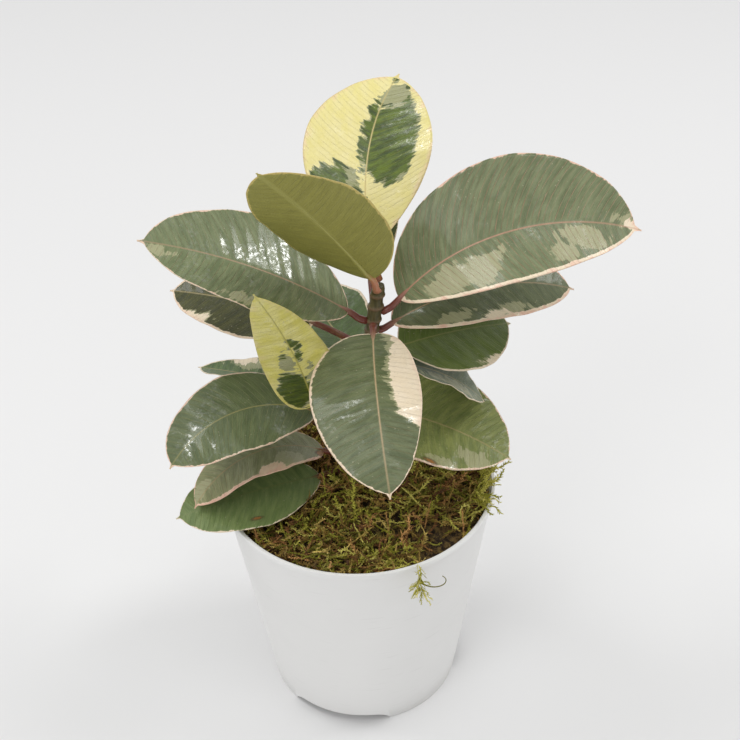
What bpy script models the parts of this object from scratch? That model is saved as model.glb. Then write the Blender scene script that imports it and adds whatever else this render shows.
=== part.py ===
"""A young variegated rubber plant in a white nursery pot.

Blender 4.5, metres, +Z up. The plant stands on z = 0. The origin is under the middle
of the whole plant, so the pot's own axis stands a little to one side of it.

Angles are in degrees. An azimuth is a compass turn about +Z: 0 points along +X, 90
along +Y, to the back. A rise is an angle above the horizontal.
"""

import math
from typing import NamedTuple

import bmesh
import bpy
from mathutils import Vector

CLEARANCE = 0.0003

# Pot: a thin tapered shell on a foot ring, with notches between its feet.
POT_AXIS_X = -0.0207
POT_AXIS_Y = -0.0033
POT_HEIGHT = 0.139
POT_RIM_RADIUS = 0.075
POT_FOOT_RADIUS = 0.055
POT_WALL = 0.0016
POT_LIP_HEIGHT = 0.0040
POT_LIP_PROUD = 0.0007
POT_LIP_ROUNDING = 0.0006
POT_FLOOR_UNDERSIDE = 0.0080
POT_FLOOR_THICKNESS = 0.0020
POT_SIDES = 64
FOOT_COUNT = 3
NOTCH_HEIGHT = 0.0060
NOTCH_ANGLE = 64.0
NOTCH_END_SLOPE = 4.0
NOTCH_FIRST_AZIMUTH = 253.0
DRAIN_HOLE_RADIUS = 0.0045
DRAIN_HOLE_COUNT = 8
DRAIN_RING_RADIUS = 0.036
DRAIN_FIRST_AZIMUTH = 8.0

# Soil and the moss that is laid over it.
SOIL_BELOW_RIM = 0.0120
SOIL_TOP = POT_HEIGHT - SOIL_BELOW_RIM
SOIL_SIDES = 48
MOSS_EDGE_GAP = 0.0025
MOSS_EDGE_HEIGHT = 0.0050
MOSS_CROWN_HEIGHT = 0.0150
MOSS_BUMP = 0.0022
MOSS_SIDE_HEIGHT = 0.0030
MOSS_RING_SHARES = (0.97, 0.90, 0.78, 0.62, 0.45, 0.25)
MOSS_SIDES = 48

# Stem: its axis starts in the soil, leans to the right and stops under the bud.
STEM_FOOT_X = -0.0067
STEM_FOOT_Y = 0.0049
STEM_LEAN_X = 0.147
STEM_LEAN_Y = -0.035
STEM_BURIED = 0.030
STEM_ABOVE_MOSS = 0.1220
STEM_TOP = SOIL_TOP + MOSS_CROWN_HEIGHT + STEM_ABOVE_MOSS
STEM_FOOT_RADIUS = 0.0045
STEM_TOP_RADIUS = 0.0034
STEM_RING_PROUD = 0.0006
STEM_RING_LENGTH = 0.0022
STEM_RING_BELOW_LEAF = 0.0045
STEM_SIDES = 16

# Bud: the pink sheath that holds the next leaf.
BUD_LENGTH = 0.060
BUD_RADIUS = 0.0032
BUD_AZIMUTH = 172.0
BUD_RISE = 66.0
BUD_SIDES = 12
BUD_PROFILE = ((0, 0.7), (0.12, 1.0), (0.35, 0.92), (0.6, 0.66), (0.82, 0.36), (1, 0.08))

# Leaves: what all of them share.
LEAF_THICKNESS = 0.0007
MIDRIB_RADIUS = 0.0013
TIP_HALF_WIDTH = 0.0004
BLADE_ROUND_END = 0.97
BLADE_FULLNESS = 0.60
DRIP_TIP_START = 0.86
DRIP_TIP_WIDTH = 0.24
BLADE_PLACES = (-1, -0.62, -0.2, 0, 0.2, 0.62, 1)
BLADE_STATIONS = 13
MIDRIB_TAPER = 0.75
FOLD_EASING = 0.50
FOLD_POWER = 1.3
RIPPLE_OFFSET = 1.9
PETIOLE_RADIUS = 0.0019
PETIOLE_TAPER = 0.15
PETIOLE_STATIONS = 4
PETIOLE_SIDES = 12
SPINE_STEPS = 60


class Leaf(NamedTuple):
    """Where one leaf leaves the stem, how it grows and how it hangs.

    The height is the petiole's foot above the moss's crown.
    """

    name: str
    height: float
    azimuth: float
    petiole: float
    petiole_rise: float
    length: float
    width: float
    rise: float
    end_rise: float
    sweep: float = 0.0
    roll: float = 0.0
    fold: float = 12.0
    petiole_turn: float = 0.0
    belly: float = 0.50
    skew: float = 0.0
    wave: float = 0.0010
    waves: float = 2.0


LEAVES = (
    Leaf("leaf_top", 0.1140, 100, 0.022, 65, 0.100, 0.064, 52, 22, sweep=-45, belly=0.54),
    Leaf("leaf_youngest", 0.1208, 214, 0.011, 79, 0.101, 0.053, 57, 46,
         sweep=13, roll=40, fold=16, petiole_turn=45, belly=0.43, skew=0.05),
    Leaf("leaf_upper_left", 0.1010, 190, 0.010, 50, 0.112, 0.057, 41, 17, roll=-22, sweep=2),
    Leaf("leaf_upper_right", 0.1060, 0, 0.010, 45, 0.130, 0.0636, 52, -20, roll=38, skew=-0.142),
    Leaf("leaf_right_second", 0.0940, 12, 0.006, 30, 0.101, 0.046, 30, -26, roll=22),
    Leaf("leaf_right_back", 0.0785, 16, 0.012, 10, 0.062, 0.058, 9, -8, roll=18),
    Leaf("leaf_right_inner", 0.0733, 354, 0.014, 8, 0.050, 0.035, -6, -53, sweep=3, roll=-9),
    Leaf("leaf_lower_right", 0.0456, 344, 0.006, -6, 0.074, 0.057, -1, -23,
         sweep=-12, roll=15, fold=16, skew=0.035, belly=0.42),
    Leaf("leaf_front", 0.0998, 269, 0.0094, 22, 0.094, 0.051, 0, -41,
         sweep=10, roll=3, fold=15, skew=0.20, belly=0.465),
    Leaf("leaf_yellow", 0.0205, 248.5, 0.0435, 57, 0.101, 0.0335, 71, 59,
         sweep=-18, roll=-141, fold=9, petiole_turn=-36, belly=0.36, skew=0.02),
    Leaf("leaf_left_back", 0.0840, 160, 0.026, 25, 0.082, 0.046, 12, -6, roll=-20, belly=0.42),
    Leaf("leaf_back_low", 0.0640, 112, 0.012, 20, 0.096, 0.050, 5, -15),
    Leaf("leaf_back_high", 0.1080, 97, 0.012, 45, 0.098, 0.040, 34, 10),
    Leaf("leaf_left_small", 0.0447, 152.5, 0.026, 9, 0.072, 0.0315, -1.5, -11, roll=12, fold=18, skew=0.04),
    Leaf("leaf_lower_left", 0.0358, 182.5, 0.018, 16, 0.090, 0.053, 29, -42,
         sweep=44, roll=-9, fold=9, skew=-0.13, belly=0.47),
    Leaf("leaf_lower_left_second", 0.0143, 185, 0.011, -10, 0.0835, 0.042, 28.5, -46.5,
         sweep=41, roll=7, fold=3, skew=-0.09, belly=0.44),
    Leaf("leaf_lowest", 0.0020, 202, 0.013, -8, 0.0815, 0.047, 8, -12, sweep=-3, roll=-10, skew=-0.12),
)


def clear_scene():
    for obj in list(bpy.data.objects):
        bpy.data.objects.remove(obj, do_unlink=True)


def material(name, colour, roughness):
    """A plain Principled material."""
    made = bpy.data.materials.new(name)
    made.use_nodes = True
    shader = made.node_tree.nodes["Principled BSDF"]
    shader.inputs["Base Color"].default_value = (*colour, 1.0)
    shader.inputs["Roughness"].default_value = roughness
    shader.inputs["Metallic"].default_value = 0.0
    return made


def add_object(name, bm, finish, pot_axis):
    """Turn a bmesh into a smooth-shaded object that stands on the pot's axis.

    It is made of triangles, so that no bent face meets a cutter.
    """
    bmesh.ops.triangulate(bm, faces=bm.faces)
    bmesh.ops.recalc_face_normals(bm, faces=bm.faces)
    mesh = bpy.data.meshes.new(name)
    bm.to_mesh(mesh)
    bm.free()
    mesh.shade_smooth()
    mesh.set_sharp_from_angle(angle=math.radians(40))
    mesh.materials.append(finish)
    obj = bpy.data.objects.new(name, mesh)
    bpy.context.scene.collection.objects.link(obj)
    obj.parent = pot_axis
    return obj


def cut(obj, cutter):
    """Take the cutter away from the object, and keep it out of the render."""
    cutter.hide_render = True
    cutter.display_type = "WIRE"
    boolean = obj.modifiers.new("cut " + cutter.name, "BOOLEAN")
    boolean.operation = "DIFFERENCE"
    boolean.solver = "EXACT"
    boolean.object = cutter


def turned(profile, sides):
    """Spin a closed outline of (radius, height) points round the Z axis."""
    bm = bmesh.new()
    outline = [bm.verts.new((radius, 0.0, height)) for radius, height in profile]
    edges = [bm.edges.new(pair) for pair in zip(outline, outline[1:] + outline[:1])]
    bmesh.ops.spin(
        bm,
        geom=outline + edges,
        axis=(0, 0, 1),
        cent=(0, 0, 0),
        angle=math.tau,
        steps=sides,
        use_merge=True,
    )
    bmesh.ops.remove_doubles(bm, verts=bm.verts, dist=1e-6)
    return bm


def skin(rings):
    """Extrude a first ring of points through all the others, and close both ends."""
    bm = bmesh.new()
    first = bm.faces.new([bm.verts.new(point) for point in rings[0]])
    end = first
    for ring in rings[1:]:
        grown = bmesh.ops.extrude_face_region(bm, geom=[end])["geom"]
        if end is not first:
            bmesh.ops.delete(bm, geom=[end], context="FACES_ONLY")
        end = next(item for item in grown if isinstance(item, bmesh.types.BMFace))
        for vert, point in zip(end.verts, ring):
            vert.co = point
    return bm


def heading(azimuth, rise):
    """The unit vector at this azimuth and rise."""
    turn, up = math.radians(azimuth), math.radians(rise)
    flat = math.cos(up)
    return Vector((flat * math.cos(turn), flat * math.sin(turn), math.sin(up)))


def circle(centre, side, normal, radius, count):
    """Points round a centre, starting on the side vector and turning to the normal."""
    turns = [math.tau * index / count for index in range(count)]
    return [
        centre + radius * (math.cos(turn) * side + math.sin(turn) * normal)
        for turn in turns
    ]


# Pot


def pot_radius(height):
    """The pot's outer radius at this height, without its lip."""
    share = height / POT_HEIGHT
    top = POT_RIM_RADIUS - POT_LIP_PROUD
    return POT_FOOT_RADIUS + (top - POT_FOOT_RADIUS) * share


def notch_cutter(azimuth, pot_axis, finish):
    """A wedge that opens the foot ring between two feet, with sloping ends."""
    half = NOTCH_ANGLE / 2
    inner = POT_FOOT_RADIUS * 0.70
    outer = POT_FOOT_RADIUS * 1.25
    steps = 12
    rings = []
    for index in range(steps + 1):
        share = 2 * index / steps - 1
        low = heading(azimuth + share * (half + NOTCH_END_SLOPE / 2), 0)
        high = heading(azimuth + share * (half - NOTCH_END_SLOPE / 2), 0)
        floor = Vector((0, 0, -0.005))
        roof = Vector((0, 0, NOTCH_HEIGHT))
        rings.append(
            [inner * low + floor, outer * low + floor, outer * high + roof, inner * high + roof]
        )
    return add_object(f"notch_{azimuth:.0f}", skin(rings), finish, pot_axis)


def drain_cutter(azimuth, ring_radius, pot_axis, finish):
    """A short rod that makes one drain hole through the pot's floor."""
    centre = ring_radius * heading(azimuth, 0)
    low = centre + Vector((0, 0, POT_FLOOR_UNDERSIDE - 0.002))
    high = centre + Vector((0, 0, POT_FLOOR_UNDERSIDE + POT_FLOOR_THICKNESS + 0.002))
    ends = [
        circle(point, Vector((1, 0, 0)), Vector((0, 1, 0)), DRAIN_HOLE_RADIUS, 16)
        for point in (low, high)
    ]
    return add_object(f"drain_{azimuth:.0f}_{ring_radius:.3f}", skin(ends), finish, pot_axis)


def build_pot(pot_axis, finish):
    floor_top = POT_FLOOR_UNDERSIDE + POT_FLOOR_THICKNESS
    lip_foot = POT_HEIGHT - POT_LIP_HEIGHT
    rim_inner = POT_RIM_RADIUS - POT_LIP_PROUD - POT_WALL
    profile = [
        (POT_FOOT_RADIUS, 0.0),
        (pot_radius(POT_HEIGHT / 3), POT_HEIGHT / 3),
        (pot_radius(POT_HEIGHT * 2 / 3), POT_HEIGHT * 2 / 3),
        (pot_radius(lip_foot), lip_foot),
        (POT_RIM_RADIUS, lip_foot + POT_LIP_PROUD),
        (POT_RIM_RADIUS, POT_HEIGHT - POT_LIP_ROUNDING),
        (POT_RIM_RADIUS - POT_LIP_ROUNDING, POT_HEIGHT),
        (rim_inner + POT_LIP_ROUNDING / 2, POT_HEIGHT),
        (rim_inner, POT_HEIGHT - POT_LIP_ROUNDING),
        (pot_radius(floor_top) - POT_WALL, floor_top),
        (0.0, floor_top),
        (0.0, POT_FLOOR_UNDERSIDE),
        (pot_radius(POT_FLOOR_UNDERSIDE) - POT_WALL, POT_FLOOR_UNDERSIDE),
        (POT_FOOT_RADIUS - POT_WALL, 0.0),
    ]
    pot = add_object("pot", turned(profile, POT_SIDES), finish, pot_axis)
    for index in range(FOOT_COUNT):
        azimuth = (NOTCH_FIRST_AZIMUTH + 360 * index / FOOT_COUNT) % 360
        cut(pot, notch_cutter(azimuth, pot_axis, finish))
    cut(pot, drain_cutter(0, 0.0, pot_axis, finish))
    for index in range(DRAIN_HOLE_COUNT):
        azimuth = DRAIN_FIRST_AZIMUTH + 360 * index / DRAIN_HOLE_COUNT
        cut(pot, drain_cutter(azimuth, DRAIN_RING_RADIUS, pot_axis, finish))


# Stem, soil and moss


def leaf_foot(leaf):
    """The height at which this leaf's petiole leaves the stem."""
    return SOIL_TOP + MOSS_CROWN_HEIGHT + leaf.height


def stem_point(height):
    """The stem axis at this height."""
    climb = height - SOIL_TOP
    return Vector((STEM_FOOT_X + STEM_LEAN_X * climb, STEM_FOOT_Y + STEM_LEAN_Y * climb, height))


def stem_radius(height):
    """The stem's radius at this height, without its rings."""
    share = (height - SOIL_TOP) / (STEM_TOP - SOIL_TOP)
    return STEM_FOOT_RADIUS + (STEM_TOP_RADIUS - STEM_FOOT_RADIUS) * min(max(share, 0), 1)


def stem_section(height, radius):
    return circle(stem_point(height), Vector((1, 0, 0)), Vector((0, 1, 0)), radius, STEM_SIDES)


def build_stem(pot_axis, finish):
    """A tapered stem with a low ring where each leaf, or a fallen one, joins it."""
    levels = [(SOIL_TOP - STEM_BURIED, STEM_FOOT_RADIUS)]
    ring_heights = sorted(leaf_foot(leaf) - STEM_RING_BELOW_LEAF for leaf in LEAVES)
    last = SOIL_TOP
    for height in ring_heights:
        if height - last < 2 * STEM_RING_LENGTH:
            continue
        low, high = height - STEM_RING_LENGTH / 2, height + STEM_RING_LENGTH / 2
        levels.append((low, stem_radius(low)))
        levels.append((height, stem_radius(height) + STEM_RING_PROUD))
        levels.append((high, stem_radius(high)))
        last = height
    levels.append((STEM_TOP, STEM_TOP_RADIUS))
    rings = [stem_section(height, radius) for height, radius in levels]
    add_object("stem", skin(rings), finish, pot_axis)


def stem_cutter(pot_axis, finish):
    """The stem's foot with its clearance, for the hole that it stands in."""
    radius = STEM_FOOT_RADIUS + STEM_RING_PROUD + CLEARANCE
    low = SOIL_TOP - STEM_BURIED - CLEARANCE
    high = SOIL_TOP + 2 * MOSS_CROWN_HEIGHT
    rings = [stem_section(low, radius), stem_section(high, radius)]
    return add_object("stem_hole", skin(rings), finish, pot_axis)


def build_soil(pot_axis, finish, hole):
    floor = POT_FLOOR_UNDERSIDE + POT_FLOOR_THICKNESS + CLEARANCE
    gap = POT_WALL + CLEARANCE
    side_gap = gap + POT_RIM_RADIUS * (1 - math.cos(math.pi / POT_SIDES))
    profile = [
        (pot_radius(floor) - side_gap, floor),
        (pot_radius(SOIL_TOP) - side_gap, SOIL_TOP),
        (0.0, SOIL_TOP),
        (0.0, floor),
    ]
    cut(add_object("soil", turned(profile, SOIL_SIDES), finish, pot_axis), hole)


def moss_radius():
    """The moss's widest radius, which leaves a gap to the pot's inner wall."""
    return pot_radius(SOIL_TOP) - POT_WALL - MOSS_EDGE_GAP


def moss_top(x, y):
    """How high the moss stands over the soil at this place."""
    reach = math.hypot(x, y) / moss_radius()
    crown = MOSS_EDGE_HEIGHT + (MOSS_CROWN_HEIGHT - MOSS_EDGE_HEIGHT) * (1 - reach**2)
    bumps = math.sin(190 * x + 1.0) * math.cos(170 * y) + 0.6 * math.sin(330 * y + 240 * x)
    return crown + MOSS_BUMP * bumps * (1 - reach**4)


def moss_reach(azimuth):
    """The moss's edge as a share of its radius: it stops short on the right front."""
    turn = math.radians(azimuth)
    dip = max(0.0, math.cos(turn - math.radians(322))) ** 8
    return 1 - 0.10 * dip - 0.02 * math.sin(5 * turn)


def build_moss(pot_axis, finish, hole):
    base = SOIL_TOP + CLEARANCE
    crown = base + MOSS_CROWN_HEIGHT
    edge = moss_radius()
    profile = [(edge, base), (edge, base + MOSS_SIDE_HEIGHT)]
    profile += [(edge * share, crown) for share in MOSS_RING_SHARES]
    profile += [(0.0, crown), (0.0, base)]
    bm = turned(profile, MOSS_SIDES)
    for vert in bm.verts:
        turn = math.degrees(math.atan2(vert.co.y, vert.co.x))
        vert.co.x *= moss_reach(turn)
        vert.co.y *= moss_reach(turn)
        if vert.co.z > base + 1.5 * MOSS_SIDE_HEIGHT:
            vert.co.z = base + moss_top(vert.co.x, vert.co.y)
    cut(add_object("moss", bm, finish, pot_axis), hole)


def build_bud(pot_axis, finish):
    """A slender pointed sheath on top of the stem, gently bent upright."""
    start = stem_point(STEM_TOP) + Vector((0, 0, CLEARANCE + BUD_RADIUS * 0.75))
    spine = heading(BUD_AZIMUTH, BUD_RISE)
    side = heading(BUD_AZIMUTH - 90, 0)
    normal = side.cross(spine)
    rings = []
    for share, swell in BUD_PROFILE:
        centre = start + BUD_LENGTH * share * spine
        rings.append(circle(centre, side, normal, BUD_RADIUS * swell, BUD_SIDES))
    add_object("bud_sheath", skin(rings), finish, pot_axis)


# Leaves


def blade_half_width(leaf, share):
    """Half the blade's width at this share of its length: an ellipse with a drip tip."""
    round_share = min(share / BLADE_ROUND_END, 1.0)
    body = math.sin(math.pi * round_share ** (math.log(0.5) / math.log(leaf.belly)))
    tip = DRIP_TIP_WIDTH * min((1 - share) / (1 - DRIP_TIP_START), 1.0) * min(share / 0.5, 1.0)
    half = leaf.width / 2 * math.hypot(max(body, 0.0) ** BLADE_FULLNESS, tip)
    return max(half, TIP_HALF_WIDTH)


def leaf_frame(leaf, azimuth, rise, roll):
    """The blade's directions: along it, to its right side, and out of its upper face."""
    along = heading(azimuth, rise)
    side = heading(azimuth - 90, 0)
    normal = side.cross(along)
    turn = math.radians(roll)
    right = math.cos(turn) * side - math.sin(turn) * normal
    upper = math.cos(turn) * normal + math.sin(turn) * side
    return along, right, upper


def petiole_section(centre, right, upper, radius):
    return circle(centre, -right, upper, radius, PETIOLE_SIDES)


def blade_section(leaf, share, centre, right, upper):
    """A thin lens with a midrib underneath, run clockwise from the blade's left edge."""
    half = blade_half_width(leaf, share)
    lift = math.sin(math.radians(leaf.fold)) * (1 - FOLD_EASING * share)
    rib = MIDRIB_RADIUS * (1 - MIDRIB_TAPER * share)
    points = []
    for face, places in ((1, BLADE_PLACES), (-1, BLADE_PLACES[-2:0:-1])):
        for place in places:
            rise = half * lift * abs(place) ** FOLD_POWER
            phase = math.tau * leaf.waves * share + (0 if place < 0 else RIPPLE_OFFSET)
            ripple = leaf.wave * math.sin(phase) * place * place * math.sin(math.pi * share)
            body = LEAF_THICKNESS / 2 * (1 - abs(place) ** 3)
            if face < 0 and place == 0:
                body += rib
            out = half * place * (1 + leaf.skew * place)
            points.append(centre + out * right + (rise + ripple + face * body) * upper)
    return points


def leaf_rings(leaf):
    """Every section of one leaf, from where its petiole meets the stem to its tip."""
    slope = math.sin(math.radians(leaf.petiole_rise))
    height = leaf_foot(leaf)
    gap = stem_radius(height) + STEM_RING_PROUD + CLEARANCE + PETIOLE_RADIUS * abs(slope)
    azimuth = leaf.azimuth + leaf.petiole_turn
    place = stem_point(height) + gap * heading(azimuth, 0)
    rings = []
    for index in range(PETIOLE_STATIONS):
        share = index / PETIOLE_STATIONS
        rise = leaf.petiole_rise + (leaf.rise - leaf.petiole_rise) * share
        turn = azimuth + (leaf.azimuth - azimuth) * share
        along, right, upper = leaf_frame(leaf, turn, rise, leaf.roll * share)
        radius = PETIOLE_RADIUS * (1 - PETIOLE_TAPER * share)
        rings.append(petiole_section(place, right, upper, radius))
        place = place + along * leaf.petiole / PETIOLE_STATIONS
    for step in range(SPINE_STEPS + 1):
        share = step / SPINE_STEPS
        rise = leaf.rise + (leaf.end_rise - leaf.rise) * share
        along, right, upper = leaf_frame(leaf, leaf.azimuth + leaf.sweep * share, rise, leaf.roll)
        if step == 0:
            radius = PETIOLE_RADIUS * (1 - PETIOLE_TAPER)
            rings.append(petiole_section(place, right, upper, radius))
        elif step % (SPINE_STEPS // (BLADE_STATIONS - 1)) == 0:
            rings.append(blade_section(leaf, share, place, right, upper))
        place = place + along * leaf.length / SPINE_STEPS
    return rings


def main():
    clear_scene()
    pot_axis = bpy.data.objects.new("pot_axis", None)
    pot_axis.location = (POT_AXIS_X, POT_AXIS_Y, 0)
    bpy.context.scene.collection.objects.link(pot_axis)

    white = material("white plastic", (0.80, 0.80, 0.79), 0.45)
    earth = material("potting soil", (0.045, 0.028, 0.018), 0.95)
    moss = material("moss", (0.20, 0.19, 0.05), 0.95)
    bark = material("stem bark", (0.12, 0.11, 0.03), 0.55)
    sheath = material("bud sheath", (0.42, 0.16, 0.09), 0.45)
    blade = material("leaf", (0.07, 0.14, 0.06), 0.35)
    yellow = material("pale leaf", (0.45, 0.46, 0.12), 0.38)

    build_pot(pot_axis, white)
    hole = stem_cutter(pot_axis, bark)
    build_soil(pot_axis, earth, hole)
    build_moss(pot_axis, moss, hole)
    build_stem(pot_axis, bark)
    build_bud(pot_axis, sheath)
    pale = ("leaf_top", "leaf_yellow", "leaf_youngest")
    for leaf in LEAVES:
        finish = yellow if leaf.name in pale else blade
        add_object(leaf.name, skin(leaf_rings(leaf)), finish, pot_axis)


main()
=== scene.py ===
# %% [markdown]
# # A young variegated rubber plant in a white nursery pot
#
# The plant is one object with many parts: a thin plastic pot, soil, a layer of moss, one
# stem, a bud, and seventeen leaves. The plain solids of those parts come from the packed
# frame. Each step below replaces one of them with a finely shaped piece, and gives it a
# finish that is worked out by shader nodes, so that no picture files are needed.

# %% Load the frame and keep its box
import math
import random

import bmesh
import bpy
from mathutils import Matrix, Vector
from mathutils.bvhtree import BVHTree


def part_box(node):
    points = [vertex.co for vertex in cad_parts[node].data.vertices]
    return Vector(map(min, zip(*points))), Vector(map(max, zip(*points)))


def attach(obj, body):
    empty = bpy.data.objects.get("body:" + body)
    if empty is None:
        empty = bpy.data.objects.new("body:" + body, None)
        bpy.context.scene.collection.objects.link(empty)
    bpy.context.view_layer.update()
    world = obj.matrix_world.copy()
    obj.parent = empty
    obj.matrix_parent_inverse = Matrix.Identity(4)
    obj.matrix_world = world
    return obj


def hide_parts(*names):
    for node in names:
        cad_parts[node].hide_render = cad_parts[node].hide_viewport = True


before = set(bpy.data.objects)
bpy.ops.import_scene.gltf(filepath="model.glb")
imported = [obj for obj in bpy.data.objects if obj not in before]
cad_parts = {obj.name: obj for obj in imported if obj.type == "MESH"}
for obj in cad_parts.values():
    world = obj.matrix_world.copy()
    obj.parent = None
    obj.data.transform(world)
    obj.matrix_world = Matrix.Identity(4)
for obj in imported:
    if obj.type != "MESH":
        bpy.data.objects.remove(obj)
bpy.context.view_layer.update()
POT_LOW, POT_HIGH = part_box("pot")
POT_AXIS = Vector(((POT_LOW[0] + POT_HIGH[0]) / 2, (POT_LOW[1] + POT_HIGH[1]) / 2, 0))
SOIL_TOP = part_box("soil")[1][2]

# %% [markdown]
# ## The view
#
# The plant is seen from the front and from above, at a little over half a metre. The
# camera is placed by its own three axes instead of by angles: the direction that it looks
# in, and a small roll round that direction.

# %% Camera
VIEW_FROM = Vector((0.0079, -0.5146, 0.5886))
VIEW_PITCH = math.radians(36.17)
VIEW_ROLL = math.radians(-1.64)
VIEW_LENS = 60
SENSOR_WIDTH = 36
NEAREST_SEEN = 0.01

look = Vector((0, math.cos(VIEW_PITCH), -math.sin(VIEW_PITCH)))
level = Vector((1, 0, 0))
upward = level.cross(look)
right_hand = level * math.cos(VIEW_ROLL) + upward * math.sin(VIEW_ROLL)
overhead = upward * math.cos(VIEW_ROLL) - level * math.sin(VIEW_ROLL)
camera = bpy.data.objects.new("camera", bpy.data.cameras.new("camera"))
camera.data.lens = VIEW_LENS
camera.data.sensor_width = SENSOR_WIDTH
camera.data.clip_start = NEAREST_SEEN
turn = Matrix((right_hand, overhead, -look)).transposed().to_4x4()
camera.matrix_world = Matrix.Translation(POT_AXIS + VIEW_FROM) @ turn
bpy.context.scene.collection.objects.link(camera)
bpy.context.scene.camera = camera
print("camera at", [round(value, 3) for value in camera.matrix_world.translation])

# %% [markdown]
# ## Soft studio light
#
# A white room gives pale shadows and keeps the pot nearly as bright as the floor. One
# strong lamp could light the plant too, but its shadow would be dark and hard. The leaves
# are waxy, so they also need something bright to mirror. Each panel below stands where one
# group of blades reflects it towards the camera: two at the sides, two high above, and a
# wide one in front on the left that also softens the shadows. Each row gives the panel's
# name, its place, its width and height in metres, and its power in watts.

# %% World, panels and floor
scene = bpy.context.scene
PLANT_MIDDLE = Vector((0, 0, 0.2))
scene.view_settings.view_transform = "Standard"
WORLD_GREY = (0.94, 0.937, 0.935, 1)
WORLD_STRENGTH = 0.64
PANELS = (
    ("right panel", (1.42, 0.36, 1.62), 0.55, 0.40, 8),
    ("left panel", (-1.55, 0.50, 2.50), 0.95, 0.70, 17),
    ("high panel", (0.90, 0.22, 3.10), 0.50, 0.40, 5),
    ("overhead panel", (0.05, -0.55, 3.20), 1.5, 1.0, 11),
    ("front left panel", (-1.30, -1.75, 1.95), 1.2, 1.0, 10),
)

world = bpy.data.worlds.new("white room")
world.use_nodes = True
room = world.node_tree.nodes["Background"].inputs
room["Color"].default_value = WORLD_GREY
room["Strength"].default_value = WORLD_STRENGTH
scene.world = world


def add_panel(name, place, width, height, power):
    """A rectangular light that faces the middle of the plant."""
    lamp = bpy.data.lights.new(name, "AREA")
    lamp.shape = "RECTANGLE"
    lamp.size, lamp.size_y = width, height
    lamp.energy = power
    obj = bpy.data.objects.new(name, lamp)
    obj.location = place
    aim = PLANT_MIDDLE - Vector(place)
    obj.rotation_euler = aim.to_track_quat("-Z", "Y").to_euler()
    scene.collection.objects.link(obj)


for panel in PANELS:
    add_panel(*panel)
print(len(PANELS), "panels")

# %% [markdown]
# ## Shader maths in plain expressions
#
# A procedural finish is mostly arithmetic. Writing it as `1 - edge * 2` is easier to
# read than a list of nodes and links, so `Val` wraps a socket and turns each operator
# into a Math node. `Finish` holds the material, and its `node` method makes any other
# node from its type, its settings and the values of its sockets.


# %% A socket that works like a number
class Val:
    """The output of a node, with the usual operators."""

    def __init__(self, finish, socket):
        self.finish = finish
        self.socket = socket

    def _math(self, operation, *values):
        sockets = dict(enumerate(values))
        return self.finish.node("ShaderNodeMath", {"operation": operation}, sockets)

    def __add__(self, other):
        return self._math("ADD", self, other)

    __radd__ = __add__

    def __sub__(self, other):
        return self._math("SUBTRACT", self, other)

    def __rsub__(self, other):
        return self._math("SUBTRACT", other, self)

    def __mul__(self, other):
        return self._math("MULTIPLY", self, other)

    __rmul__ = __mul__

    def __truediv__(self, other):
        return self._math("DIVIDE", self, other)

    def size(self):
        return self._math("ABSOLUTE", self)

    def over(self, other):
        return self._math("MAXIMUM", self, other)

    def sign(self):
        return self._math("SIGN", self)

    def bounce(self, reach):
        return self._math("PINGPONG", self, reach)

    def step(self, start, end):
        """0 below start, 1 above end, and a soft step between them."""
        settings = {"interpolation_type": "SMOOTHSTEP"}
        return self.finish.node("ShaderNodeMapRange", settings, {0: self, 1: start, 2: end})


class Finish:
    """A Principled material whose nodes are made by expressions."""

    def __init__(self, name, roughness=0.5, coat=0.0, coat_roughness=0.1, ior=1.45):
        self.material = bpy.data.materials.new(name)
        self.material.use_nodes = True
        self.tree = self.material.node_tree
        self.shader = self.tree.nodes["Principled BSDF"]
        self.shader.inputs["Roughness"].default_value = roughness
        self.shader.inputs["Coat Weight"].default_value = coat
        self.shader.inputs["Coat Roughness"].default_value = coat_roughness
        self.shader.inputs["IOR"].default_value = ior

    def feed(self, socket, value):
        if isinstance(value, Val):
            self.tree.links.new(value.socket, socket)
        elif hasattr(value, "__len__") and len(value) == 3 and len(socket.default_value) == 4:
            socket.default_value = (*value, 1)
        else:
            socket.default_value = value

    def node(self, kind, settings, values, out=0):
        made = self.tree.nodes.new(kind)
        for name, value in settings.items():
            setattr(made, name, value)
        for key, value in values.items():
            self.feed(made.inputs[key], value)
        return Val(self, made.outputs[out])

    def place(self):
        return self.node("ShaderNodeTexCoord", {}, {}, out="Object")

    def attribute(self, name):
        return self.node("ShaderNodeAttribute", {"attribute_name": name}, {}, out="Fac")

    def split(self, vector):
        made = self.tree.nodes.new("ShaderNodeSeparateXYZ")
        self.feed(made.inputs[0], vector)
        return [Val(self, socket) for socket in made.outputs]

    def join(self, x, y, z):
        return self.node("ShaderNodeCombineXYZ", {}, {0: x, 1: y, 2: z})

    def noise(self, vector, scale, detail=2.0, roughness=0.5):
        values = {"Vector": vector, "Scale": scale, "Detail": detail, "Roughness": roughness}
        return self.node("ShaderNodeTexNoise", {}, values)

    def cells(self, vector, scale):
        values = {"Vector": vector, "Scale": scale}
        return self.node("ShaderNodeTexVoronoi", {}, values, out="Distance")

    def mix(self, factor, first, second):
        values = {0: factor, 6: first, 7: second}
        return self.node("ShaderNodeMix", {"data_type": "RGBA"}, values, out=2)

    def bump(self, height, distance, strength=1.0):
        values = {"Strength": strength, "Distance": distance, "Height": height}
        normal = self.node("ShaderNodeBump", {}, values)
        self.feed(self.shader.inputs["Normal"], normal)

    def set(self, name, value):
        self.feed(self.shader.inputs[name], value)


print("shader helpers ready")

# %% [markdown]
# ## Putting a piece into the scene
#
# Every piece is made in a bmesh whose points are already in their final place, so its
# object sits at the origin. `place_piece` turns the bmesh into an object, lets it ride on
# the frame and hides the plain solid that it stands for.


# %% Piece helpers
MERGE_REACH = 1e-6


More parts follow.
